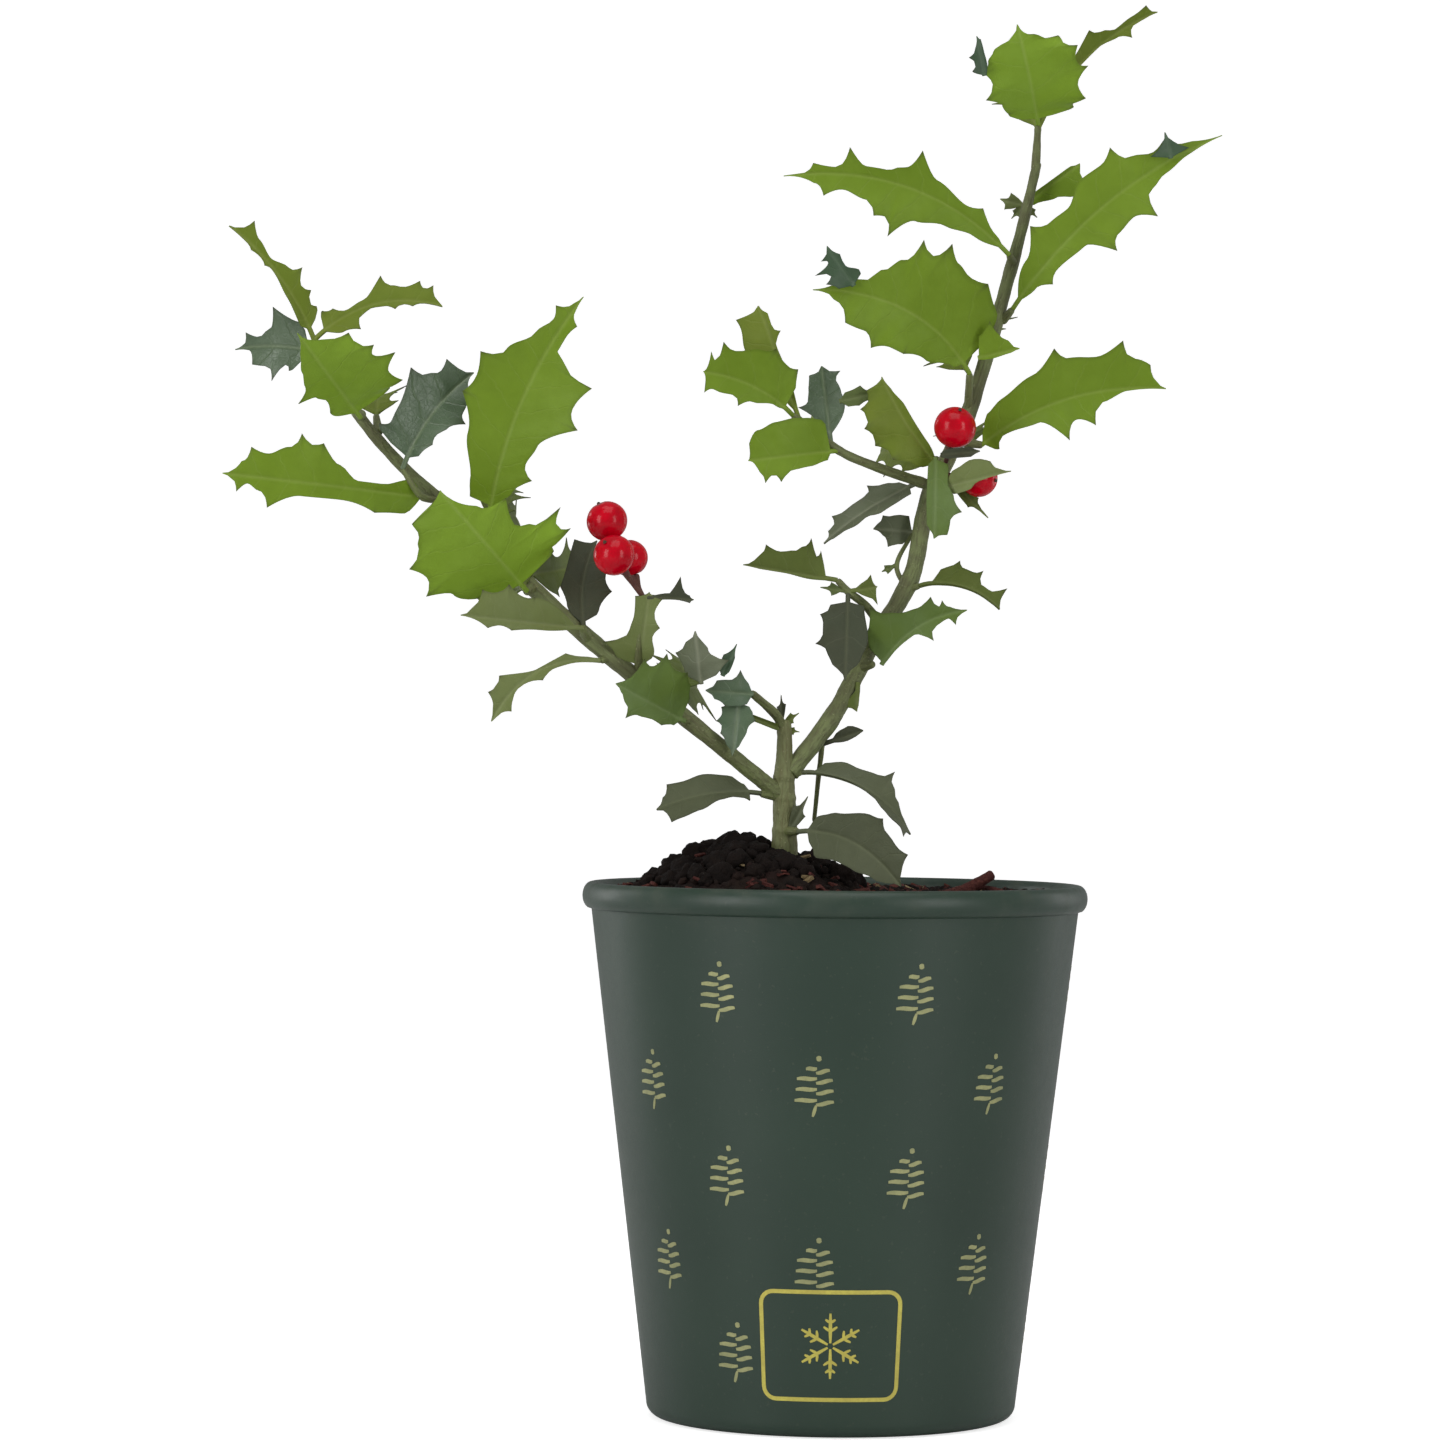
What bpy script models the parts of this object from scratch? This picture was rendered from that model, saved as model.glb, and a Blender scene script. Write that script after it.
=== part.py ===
"""A young holly with red berries in a rolled-rim plastic pot, in metres with +Z up.

The origin is the middle of the pot's flat underside. The front of the plant faces -Y.
A short main stem forks into a left and a right bough. Shoots of spiny leaves stand on the
stem and on both boughs, and each shoot is one closed solid: a stem, its leaves and berries.
Sizes are in millimetres times MM. Angles are in degrees.
"""

import math
import random
from dataclasses import dataclass

import bmesh
import bpy
from mathutils import Matrix, Vector
from mathutils.bvhtree import BVHTree

MM = 0.001
GAP = 0.3 * MM

# The pot: a tapered shell with a rolled rim and a rounded foot.
POT_HEIGHT = 126.7 * MM
RIM_RADIUS = 60.1 * MM
RIM_DEPTH = 6.4 * MM
RIM_INNER_RADIUS = 55.8 * MM
BODY_TOP_RADIUS = 57.9 * MM
BODY_FOOT_RADIUS = 43.9 * MM
FOOT_ROUNDING = 3.4 * MM
WALL = 1.5 * MM
FLOOR = 2.5 * MM
POT_STEPS = 36
RIM_STEPS = 6

# The soil: level inside the rim, with a mound to the left that the main stem stands in.
SOIL_LEVEL = 124.3 * MM
SOIL_STEPS = 28
SOIL_RINGS = 9
MOUND_HEIGHT = 12.8 * MM
MOUND_X = -20.5 * MM
MOUND_Y = 2.0 * MM
MOUND_HALF_WIDTH = 22.0 * MM
MOUND_HALF_DEPTH = 25.0 * MM
SOIL_UNEVENNESS = 0.5 * MM

# Leaves: a blade with spiny, scalloped margins on a short stalk.
LEAF_THICKNESS = 0.8 * MM
STALK_LENGTH = 3.0 * MM
STALK_HALF_WIDTH = 0.6 * MM
TIP_HALF_WIDTH = 0.2 * MM
SCALLOP_POWER = 2.2
USUAL_SPACING = 0.25
DEEPEST = 1.5
MERGE_ROWS = 0.05
WIDE_SCALLOP = 0.13
LONG_TIP = 0.07

# Leaves that the seeded rule adds behind each shoot.
BACK_REACH = (24.0, 40.0)
BACK_HALF_WIDTH = (6.5, 9.5)
BACK_TOWARD = (-86.0, -64.0)
BACK_HEADING = (10.0, 170.0)
BACK_TRIES = 60
BACK_HIDDEN = 0.75
CLEARANCE = 1.2 * MM

BERRY_RADIUS = 4.8 * MM
BERRY_STALK_RADIUS = 0.65 * MM
SHOOT_SIDES = 5
LIMB_SIDES = 8


@dataclass(frozen=True)
class Limb:
    """A tapering limb: a name, its route in millimetres, and its radii from foot to tip."""

    name: str
    route: tuple
    radii: tuple


def spiny(width):
    """Return the spines of one margin of an ordinary leaf whose half is width wide."""
    return ((0.22, 0.72 * width), (0.50, width), (0.80, 0.62 * width))


@dataclass(frozen=True)
class Leaf:
    """One leaf on a shoot.

    at is the place on the shoot's stem, 0 to 1. heading is the way it points in the front
    view, anticlockwise from +X. toward tips it to the viewer, roll turns it about its own
    length. reach is the straight distance to its tip. left and right are the spines of its
    margins, each with its place along the blade and its distance from the midrib. arch
    bends the leaf away from its upper face, bow is how far the midrib runs to its right,
    fold lifts both halves, scallop is how deep the margin runs in between spines, and wave
    is how far the spines stand up and down.
    """

    at: float
    heading: float
    toward: float
    reach: float
    left: tuple
    right: tuple
    roll: float = 0.0
    arch: float = 26.0
    bow: float = 0.0
    fold: float = 12.0
    scallop: float = 0.38
    wave: float = 0.10


@dataclass(frozen=True)
class Berry:
    """One berry: its middle in millimetres, and its radius as a share of the usual one."""

    place: tuple
    size: float = 1.0


@dataclass(frozen=True)
class Shoot:
    """A mass of foliage: a stem from inside its limb, leaves, berries and leaves behind."""

    name: str
    stem: tuple
    radius: float
    leaves: tuple
    berries: tuple = ()
    behind: int = 1


MAIN_STEM = Limb(
    "main_stem",
    (
        (-12.0, 0, 135.5), (-12.1, 0, 138.5), (-12.2, 0, 144.5),
        (-12.3, 0, 151.0), (-12.3, 0, 158.0), (-12.4, 0, 165.5),
    ),
    (4.3, 3.0, 2.75, 2.5, 1.9, 1.55),
)
LEFT_BOUGH = Limb(
    "left_bough",
    (
        (-12.5, 0, 149), (-20, -3, 155.5), (-33, -8, 165), (-62, -18, 187),
        (-89, -23, 211), (-112, -26, 236), (-120, -27, 247),
    ),
    (2.1, 1.9, 1.9, 1.9, 1.6, 1.25, 1.1),
)
RIGHT_BOUGH = Limb(
    "right_bough",
    (
        (-12.0, 0, 153), (-2, 4, 167), (8, 9, 183), (18, 13, 200),
        (22, 15, 219), (32, 17, 241), (43, 20, 280), (48, 22, 301),
    ),
    (2.2, 2.1, 2.1, 2.1, 2.0, 1.8, 1.4, 1.0),
)
LIMBS = (MAIN_STEM, LEFT_BOUGH, RIGHT_BOUGH)

LEFT_SHOOTS = (
    Shoot(
        "left_tip", ((-119.5, -27, 246), (-123, -28, 253)), 1.1,
        (
            Leaf(
                1.0, 127, 5, 33, ((0.20, 0.9), (0.60, 0.9), (0.76, 1.4)), ((0.16, 5), (0.43, 7), (0.91, 4.4)),
                roll=20,
            ),
            Leaf(1.0, 17, 4, 29, spiny(8), spiny(7), roll=-66, arch=88),
            Leaf(0.6, 172, -25, 23, ((0.42, 8), (0.72, 6)), ((0.53, 9.5), (0.89, 3.4)), bow=1),
        ),
        behind=0,
    ),
    Shoot(
        "left_crown", ((-112, -26, 236), (-112, -30, 235)), 1.1,
        (
            Leaf(
                1.0, 126, 51, 34, ((0.24, 5.5), (0.55, 10)),
                ((0.06, 9.5), (0.20, 13.5), (0.41, 15), (0.62, 12), (0.82, 9)), scallop=0.26,
            ),
        ),
    ),
    Shoot(
        "left_outer", ((-94, -24, 216), (-98, -30, 217), (-102, -31, 223)), 1.2,
        (
            Leaf(
                1.0, 55, -14, 29, ((0.17, 9), (0.69, 9.4), (0.93, 6.8)),
                ((0.08, 3.5), (0.30, 4.6), (0.61, 8.3)), bow=-4, wave=0.16,
            ),
            Leaf(
                0.5, 174, 9, 48, ((0.04, 4.8), (0.30, 4.8), (0.80, 6.8), (0.95, 3)),
                ((0.04, 4.8), (0.40, 3.2), (0.58, 9.6), (0.68, 11.5), (0.91, 7)), scallop=0.18,
            ),
        ),
        behind=0,
    ),
    Shoot(
        "left_upper", ((-84, -22, 207), (-82, -27, 212)), 1.2,
        (
            Leaf(
                1.0, 67, 6, 56, ((0.04, 6.5), (0.42, 14), (0.60, 14.5), (0.91, 4.6)),
                ((0.18, 7.8), (0.46, 14.4), (0.65, 13), (0.87, 2.4)), bow=-3.5, fold=8, scallop=0.26,
            ),
        ),
        behind=2,
    ),
    Shoot(
        "left_front", ((-72, -20, 196), (-73, -26, 195)), 1.3,
        (
            Leaf(
                1.0, 131, 32, 35, ((0.42, 18), (0.68, 17), (0.90, 11)),
                ((0.05, 12.5), (0.17, 17), (0.29, 19), (0.62, 10.6)), fold=8, scallop=0.26,
            ),
        ),
        behind=2,
    ),
    Shoot(
        "left_middle", ((-59, -17, 184), (-60, -24, 186.5)), 1.2,
        (
            Leaf(
                1.0, 175, 36, 34, ((0.52, 3.5), (0.75, 3)), ((0.36, 6), (0.60, 8.2), (0.84, 6.4)),
                scallop=0.2,
            ),
            Leaf(0.5, 84, -30, 26, ((0.51, 7), (0.87, 4)), ((0.40, 7), (0.72, 5.5)), bow=-2),
        ),
        behind=0,
    ),
    Shoot(
        "left_droop", ((-53, -15, 180), (-56, -18, 179)), 1.0,
        (Leaf(1.0, 211, 10, 30, spiny(6), spiny(7), roll=66, arch=72),),
        behind=0,
    ),
    Shoot(
        "left_berries", ((-47, -13, 175.5), (-47, -18, 184), (-46, -22, 194)), 0.9,
        (
            Leaf(0.1, 82, 4, 18, ((0.39, 8.3), (0.90, 3)), ((0.40, 3.5), (0.64, 4), (0.93, 4))),
            Leaf(1.0, -2, 4, 11, ((0.48, 5.1),), ((0.5, 0.8),), scallop=0.2),
        ),
        (Berry((-55, -25, 212)), Berry((-53, -31, 204)), Berry((-47, -24, 204))),
        behind=0,
    ),
    Shoot(
        "left_inner", ((-35, -8.5, 166.5), (-36, -12, 166)), 1.2,
        (
            Leaf(
                1.0, 149, 30, 22, ((0.30, 4), (0.72, 6)), ((0.40, 9), (0.75, 11.5), (0.90, 8.9)),
                scallop=0.26,
            ),
            Leaf(1.0, 55, 8, 21, ((0.40, 9), (0.72, 8.4)), ((0.30, 4), (0.70, 4)), scallop=0.3),
        ),
    ),
)

MIDDLE_SHOOTS = (
    Shoot(
        "low_left", ((-13, 0, 147), (-18, -3, 148)), 1.1,
        (
            Leaf(
                1.0, 188, 12, 27, ((0.40, 4), (0.95, 4.4)), ((0.25, 4.5), (0.60, 8), (0.86, 7.5)),
                roll=38, arch=50, scallop=0.08,
            ),
        ),
    ),
    Shoot(
        "stem_top", ((-12.4, 0, 164), (-13, 0, 169)), 1.3,
        (
            Leaf(0.9, 88, 0, 7, ((0.5, 1.4),), ((0.6, 1.4),)),
            Leaf(0.8, 42, 10, 6, ((0.6, 1.8),), ((0.4, 1.8),)),
            Leaf(0.8, 159, -15, 18, ((0.31, 2.5), (0.70, 4)), ((0.30, 3.5), (0.62, 4)), bow=2),
            Leaf(0.3, 208, 34, 16, ((0.60, 2.5), (0.85, 2.5)), ((0.40, 6), (0.71, 8), (0.93, 6)), bow=4),
        ),
        behind=0,
    ),
    Shoot(
        "low_right", ((-12, 0, 152), (-8, 0, 153)), 0.9,
        (
            Leaf(
                1.0, -29, 8, 30, ((0.30, 5), (0.64, 11), (0.88, 5)), ((0.45, 5), (0.74, 5)),
                roll=-52, arch=78,
            ),
        ),
        behind=0,
    ),
    Shoot(
        "low_front", ((-12, -1, 139), (-9, -6, 139)), 1.1,
        (
            Leaf(
                1.0, -27, 36, 33, ((0.14, 5), (0.55, 8.7), (0.86, 5.5)),
                ((0.12, 4.3), (0.62, 5.8), (0.91, 3)), bow=-4, scallop=0.12, wave=0.04,
            ),
            Leaf(0.3, 64, 5, 9, ((0.6, 1.6),), ((0.5, 1.6),)),
        ),
        behind=0,
    ),
    Shoot(
        "hanging_twig", ((-3, 4, 165), (-3.4, 5.5, 158), (-4, 6.5, 152), (-5, 6.5, 141)), 0.7,
        (Leaf(0.3, 21, 4, 11, ((0.6, 1.8),), ((0.55, 1.8),), scallop=0.0, wave=0.0),),
        behind=0,
    ),
)

RIGHT_SHOOTS = (
    Shoot(
        "right_foot", ((5.5, 7, 178), (9, 4, 179)), 1.1,
        (
            Leaf(
                1.0, 32, 18, 27, ((0.33, 10), (0.74, 5), (0.86, 3.5)),
                ((0.41, 2.5), (0.64, 5.8), (0.89, 3.3)), bow=-2,
            ),
            Leaf(0.7, 258, 5, 9, ((0.6, 2.5),), ((0.6, 2.5),)),
        ),
        behind=0,
    ),
    Shoot(
        "right_lower", ((11, 11, 188), (7, 8, 193), (3, 6, 196), (0, 5, 199)), 1.0,
        (
            Leaf(1.0, 169, 8, 23, ((0.5, 1.5),), ((0.20, 6), (0.42, 9.5), (0.82, 5.7)), arch=20),
            Leaf(0.7, 268, 22, 23, ((0.50, 4.8), (0.80, 3)), ((0.22, 6.5), (0.62, 7.8), (0.84, 4)), arch=16),
            Leaf(0.7, 14, 10, 9, ((0.6, 2.5),), ((0.5, 2.5), (0.8, 5))),
        ),
        behind=0,
    ),
    Shoot(
        "right_low", ((17, 12.5, 197), (20, 10, 198)), 0.9,
        (
            Leaf(
                1.0, -14, 8, 22, ((0.43, 7), (0.71, 8.5), (0.90, 4)), ((0.35, 4), (0.68, 3.5)),
                roll=-52, arch=76,
            ),
        ),
        behind=0,
    ),
    Shoot(
        "right_mid", ((17, 12.7, 197), (14.5, 14, 203), (18.5, 18, 211)), 0.6,
        (
            Leaf(1.0, 176, -12, 11, ((0.24, 3.5), (0.76, 3.5)), ((0.25, 3.5), (0.73, 3.6))),
            Leaf(0.5, 205, 0, 4, ((0.6, 1.2),), ((0.6, 1.2),)),
        ),
        behind=0,
    ),
    Shoot(
        "right_twig", ((23, 15, 222), (10, 8, 226), (0, 4, 230), (-11, 0, 238)), 1.1,
        (
            Leaf(
                0.08, 213, 10, 28, ((0.38, 4.5), (0.79, 2)), ((0.16, 5), (0.34, 8.5), (0.77, 5.5)), roll=46,
            ),
            Leaf(
                0.66, 184, 24, 24, ((0.20, 4), (0.66, 6.5), (0.84, 6.5)),
                ((0.06, 7), (0.50, 9.3), (0.86, 6.8)), arch=40, scallop=0.14, wave=0.03,
            ),
            Leaf(0.82, 55, -18, 17, ((0.10, 4), (0.38, 8), (0.70, 6)), ((0.40, 2), (0.70, 3)), arch=10),
            Leaf(
                1.0, 157, 20, 25, ((0.20, 4), (0.55, 6), (0.88, 4)), ((0.13, 8.5), (0.43, 10.5), (0.85, 8)),
                arch=34, bow=4,
            ),
            Leaf(0.95, 111, -8, 30, ((0.67, 6), (0.85, 5)), ((0.69, 3.5), (0.88, 3)), bow=-3, arch=30),
        ),
        behind=1,
    ),
    Shoot(
        "right_berries", ((23, 15, 224), (25, 7, 225)), 1.2,
        (
            Leaf(
                1.0, 126, 12, 25, ((0.23, 6.2), (0.46, 7.4), (0.67, 7.2), (0.85, 6)),
                ((0.40, 3), (0.75, 2.5)), arch=12, bow=-3,
            ),
            Leaf(1.0, 273, 8, 19, ((0.52, 5.2), (0.68, 6.6), (0.95, 2.7)), ((0.33, 3.5), (0.81, 3)), arch=16),
            Leaf(1.0, 16, 10, 17, ((0.4, 4), (0.7, 4)), ((0.5, 4),), roll=-70, arch=110),
            Leaf(1.0, -42, 14, 13, ((0.5, 2),), ((0.55, 2),)),
        ),
        (Berry((28.5, 1, 235), 1.05), Berry((34, 3, 224), 0.95)),
        behind=0,
    ),
    Shoot(
        "right_side", ((29, 16, 233), (35, 14, 232)), 1.1,
        (
            Leaf(
                0.95, 17, 12, 47, ((0.19, 6.5), (0.56, 12.5), (0.88, 11.5), (0.97, 5)),
                ((0.11, 3), (0.49, 8.9), (0.64, 7.3)), bow=-4.5, scallop=0.3,
            ),
        ),
    ),
    Shoot(
        "right_inner", ((31.5, 17, 240), (31.5, 11, 249)), 1.0,
        (
            Leaf(
                1.0, 154, 20, 45, ((0.25, 6.5), (0.54, 10.5), (0.75, 9)),
                ((0.04, 12), (0.14, 17), (0.42, 18.5), (0.56, 16.5), (0.92, 11)), bow=6, scallop=0.2,
            ),
        ),
        behind=2,
    ),
    Shoot(
        "right_outer", ((39.5, 19, 262), (42, 16, 265)), 1.0,
        (
            Leaf(
                1.0, 40, 6, 65, ((0.22, 9), (0.54, 12.5), (0.67, 10.5), (0.86, 6.5)),
                ((0.15, 4.5), (0.43, 10), (0.63, 9.6)), bow=-5,
            ),
        ),
        behind=2,
    ),
    Shoot(
        "right_upper", ((42.5, 20, 276), (41, 16, 278)), 1.0,
        (
            Leaf(
                1.0, 162, 8, 58, ((0.21, 3.5), (0.50, 12), (0.60, 8.5), (0.83, 4.5)),
                ((0.17, 4.5), (0.49, 9.5), (0.78, 7.3), (0.91, 3)), bow=7,
            ),
        ),
        behind=1,
    ),
    Shoot(
        "right_bud", ((45, 21, 290), (45, 26, 291)), 0.8,
        (
            Leaf(1.0, 42, 0, 18, spiny(3), spiny(3), roll=50),
            Leaf(1.0, 165, 0, 7, ((0.5, 2.5),), ((0.5, 2.5),)),
        ),
        behind=0,
    ),
    Shoot(
        "right_tip", ((47.5, 22, 299), (48, 21, 310)), 1.0,
        (
            Leaf(
                1.0, 103, 40, 29, ((0.17, 6.5), (0.38, 11), (0.60, 10.5), (0.80, 9.5)),
                ((0.10, 9), (0.22, 12), (0.41, 14.5), (0.66, 12.5), (0.82, 8.5)), arch=50, scallop=0.2,
            ),
            Leaf(
                0.9, 50, -6, 39, ((0.40, 2.5), (0.66, 4)), ((0.45, 1.5), (0.82, 3)),
                roll=30, arch=20, bow=-3,
            ),
        ),
        behind=1,
    ),
)
# Shoots at the back of the boughs. The seeded rule gives them all their leaves.
BACK_SHOOTS = (
    Shoot("left_back_tip", ((-108, -25.5, 231.5), (-109, -19, 236)), 1.0, (), behind=2),
    Shoot("left_back", ((-72, -20, 196), (-74, -13, 199)), 1.2, (), behind=3),
    Shoot("left_back_low", ((-37, -9, 168), (-39, -2, 172)), 1.1, (), behind=2),
    Shoot("right_back", ((25, 15.5, 226), (24, 23, 229)), 1.2, (), behind=3),
    Shoot("right_back_high", ((36.5, 18.3, 256), (33, 25, 259)), 1.1, (), behind=3),
)
SHOOTS = LEFT_SHOOTS + MIDDLE_SHOOTS + RIGHT_SHOOTS + BACK_SHOOTS


def clear_scene():
    """Remove every object that the file started with."""
    for thing in list(bpy.data.objects):
        bpy.data.objects.remove(thing, do_unlink=True)


def finish_material(name, colour, roughness):
    """Return a plain Principled material."""
    material = bpy.data.materials.new(name)
    material.use_nodes = True
    shader = material.node_tree.nodes["Principled BSDF"]
    shader.inputs["Base Color"].default_value = (*colour, 1.0)
    shader.inputs["Roughness"].default_value = roughness
    shader.inputs["Metallic"].default_value = 0.0
    material.diffuse_color = (*colour, 1.0)
    return material


def add_object(name, shape, material, sharp_angle=None):
    """Turn a bmesh into a named object with one material, and free the bmesh."""
    mesh = bpy.data.meshes.new(name)
    shape.to_mesh(mesh)
    shape.free()
    if sharp_angle is not None:
        mesh.shade_smooth()
        mesh.set_sharp_from_angle(angle=math.radians(sharp_angle))
    thing = bpy.data.objects.new(name, mesh)
    bpy.context.scene.collection.objects.link(thing)
    if material is not None:
        mesh.materials.append(material)
    return thing


def spun(profile, steps):
    """Spin a list of (radius, height) points about Z into a closed bmesh."""
    shape = bmesh.new()
    corners = [shape.verts.new((radius, 0.0, height)) for radius, height in profile]
    edges = [shape.edges.new(pair) for pair in zip(corners, corners[1:])]
    bmesh.ops.spin(
        shape, geom=corners + edges, cent=(0, 0, 0), axis=(0, 0, 1), dvec=(0, 0, 0),
        angle=math.tau, steps=steps, use_merge=True, use_duplicate=False,
    )
    bmesh.ops.remove_doubles(shape, verts=shape.verts, dist=0.01 * MM)
    bmesh.ops.recalc_face_normals(shape, faces=shape.faces)
    return shape


def wall_radius(height):
    """Return the pot's outer radius at a height, between its foot and its rim."""
    share = (height - FOOT_ROUNDING) / (POT_HEIGHT - RIM_DEPTH - FOOT_ROUNDING)
    return BODY_FOOT_RADIUS + share * (BODY_TOP_RADIUS - BODY_FOOT_RADIUS)


def pot_profile():
    """Return the pot's half section, from the middle of its underside round to its floor."""
    foot = [(0.0, 0.0)]
    middle = BODY_FOOT_RADIUS - FOOT_ROUNDING
    for step in range(4):
        angle = math.radians(-90 + 30 * step)
        out = FOOT_ROUNDING * math.cos(angle)
        foot.append((middle + out, FOOT_ROUNDING * (1 + math.sin(angle))))
    half_depth = RIM_DEPTH / 2
    half_width = (RIM_RADIUS - RIM_INNER_RADIUS) / 2
    rim = []
    for step in range(RIM_STEPS + 1):
        angle = math.radians(-70 + 230 * step / RIM_STEPS)
        radius = RIM_RADIUS - half_width + half_width * math.cos(angle)
        rim.append((radius, POT_HEIGHT - half_depth + half_depth * math.sin(angle)))
    under_rim = POT_HEIGHT - RIM_DEPTH
    inside = [
        (wall_radius(under_rim) - WALL, under_rim),
        (wall_radius(FLOOR) - WALL, FLOOR),
        (0.0, FLOOR),
    ]
    return foot + [(BODY_TOP_RADIUS, under_rim)] + rim + inside


def soil_height(x, y):
    """Return the height of the soil's surface at a place."""
    across = abs((x - MOUND_X) / MOUND_HALF_WIDTH)
    deep = abs((y - MOUND_Y) / MOUND_HALF_DEPTH)
    mound = MOUND_HEIGHT * math.exp(-((across**2 + deep**2) ** 1.5))
    ripple = math.sin(x / (3.1 * MM)) * math.cos(y / (3.7 * MM) + 1.0)
    return SOIL_LEVEL + mound + SOIL_UNEVENNESS * ripple


def build_soil(material, foot_room):
    """Fill the pot with soil, and leave room for the foot of the main stem."""
    bottom = FLOOR + GAP
    side_top = POT_HEIGHT - RIM_DEPTH
    top_radius = RIM_INNER_RADIUS - 3 * GAP
    side = [
        (0.0, bottom),
        (wall_radius(bottom) - WALL - GAP, bottom),
        (wall_radius(side_top) - WALL - 2 * GAP, side_top),
    ]
    rings = [(top_radius * (1 - ring / SOIL_RINGS), SOIL_LEVEL) for ring in range(SOIL_RINGS + 1)]
    shape = spun(side + rings, SOIL_STEPS)
    for corner in shape.verts:
        if corner.co.z > SOIL_LEVEL - 0.01 * MM:
            inner = 1 - min(1.0, (corner.co.xy.length / top_radius) ** 12)
            rise = soil_height(corner.co.x, corner.co.y) - SOIL_LEVEL
            corner.co.z = SOIL_LEVEL + inner * rise
    soil = add_object("soil", shape, material, 60)
    combine(soil, [foot_room], "DIFFERENCE")
    return soil


def smooth_route(points, per_span):
    """Return points on a smooth curve through the given ones, with each one's share 0 to 1."""
    knots = [Vector(point) * MM for point in points]
    before = knots[0] * 2 - knots[1]
    after = knots[-1] * 2 - knots[-2]
    ends = [before] + knots + [after]
    route = []
    for span in range(len(knots) - 1):
        p0, p1, p2, p3 = ends[span : span + 4]
        for step in range(per_span):
            t = step / per_span
            route.append(
                0.5 * (2 * p1 + (p2 - p0) * t + (2 * p0 - 5 * p1 + 4 * p2 - p3) * t**2
                       + (3 * p1 - p0 - 3 * p2 + p3) * t**3)
            )
    route.append(knots[-1])
    return route


def radius_along(radii, share):
    """Return the radius in metres at a share of a route, between evenly spread radii."""
    place = share * (len(radii) - 1)
    index = min(int(place), len(radii) - 2)
    return MM * (radii[index] + (place - index) * (radii[index + 1] - radii[index]))


def tube(route, radii, sides, grow=0.0):
    """Return a closed tapering tube along a route, grown all round by grow."""
    shape = bmesh.new()
    side = (route[1] - route[0]).orthogonal()
    last = len(route) - 1
    behind = None
    for index, place in enumerate(route):
        heading = (route[min(index + 1, last)] - route[max(index - 1, 0)]).normalized()
        side = (side - heading * side.dot(heading)).normalized()
        spare = heading * grow * ((index == last) - (index == 0))
        radius = radius_along(radii, index / last) + grow
        turn = Matrix((side, heading.cross(side), heading)).transposed().to_4x4()
        made = bmesh.ops.create_circle(
            shape, cap_ends=index in (0, last), radius=radius, segments=sides,
            matrix=Matrix.Translation(place + spare) @ turn,
        )
        ring = set(made["verts"])
        edges = [edge for edge in shape.edges if set(edge.verts) <= ring]
        if behind is not None:
            bmesh.ops.bridge_loops(shape, edges=behind + edges)
        behind = edges
    bmesh.ops.recalc_face_normals(shape, faces=shape.faces)
    return shape


def limb_shape(limb, grow=0.0):
    """Return the bmesh of a limb."""
    return tube(smooth_route(limb.route, 3), limb.radii, LIMB_SIDES, grow)


def leaf_frame(leaf):
    """Return the leaf's own directions: along it, to its right, and out of its upper face."""
    heading = math.radians(leaf.heading)
    toward = math.radians(leaf.toward)
    along = Vector((
        math.cos(heading) * math.cos(toward),
        -math.sin(toward),
        math.sin(heading) * math.cos(toward),
    ))
    viewer = Vector((0.0, -1.0, 0.0))
    face = (viewer - along * viewer.dot(along)).normalized()
    face = Matrix.Rotation(math.radians(leaf.roll), 3, along) @ face
    return along, along.cross(face), face


def midrib_place(leaf, share):
    """Return a place on the midrib, as distances along, to the right and out, in metres."""
    reach = leaf.reach * MM
    arch = math.radians(leaf.arch)
    arch = arch if abs(arch) > 0.01 else 0.01
    scale = reach / (2 * math.sin(arch / 2))
    along = scale * (math.sin(arch / 2) + math.sin(arch * (share - 0.5)))
    out = scale * (math.cos(arch * (share - 0.5)) - math.cos(arch / 2))
    right = leaf.bow * MM * 4 * share * (1 - share)
    return along, right, out


def margin(spines, scallop, share):
    """Return a margin's distance from the midrib in millimetres at a share of the blade."""
    for place, width in spines:
        if abs(place - share) < MERGE_ROWS / 2:
            return width
    marks = ((0.0, STALK_HALF_WIDTH / MM), *spines, (1.0, TIP_HALF_WIDTH / MM))
    index = max(number for number, mark in enumerate(marks[:-1]) if mark[0] <= share)
    (start, from_width), (end, to_width) = marks[index : index + 2]
    part = (share - start) / (end - start)
    if index == 0:
        return from_width + (to_width - from_width) * math.sin(math.pi / 2 * part)
    depth = scallop * min(DEEPEST, (end - start) / USUAL_SPACING) * (1 - abs(2 * part - 1) ** SCALLOP_POWER)
    return (from_width + part * (to_width - from_width)) * (1 - depth)


def blade_rows(leaf):
    """Return the places of a blade's rows, and those of them that carry spines."""
    spine_rows = []
    for place in sorted(place for place, width in leaf.left + leaf.right):
        if spine_rows and place - spine_rows[-1] < MERGE_ROWS:
            spine_rows[-1] = (spine_rows[-1] + place) / 2
        else:
            spine_rows.append(place)
    rows = [spine_rows[0] / 2] if spine_rows[0] > WIDE_SCALLOP else []
    for place, ahead in zip(spine_rows, spine_rows[1:]):
        rows.append(place)
        if ahead - place > WIDE_SCALLOP:
            rows.append((place + ahead) / 2)
    rows.append(spine_rows[-1])
    if 1 - rows[-1] > LONG_TIP:
        rows.append((1 + rows[-1]) / 2)
    return rows, spine_rows


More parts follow.
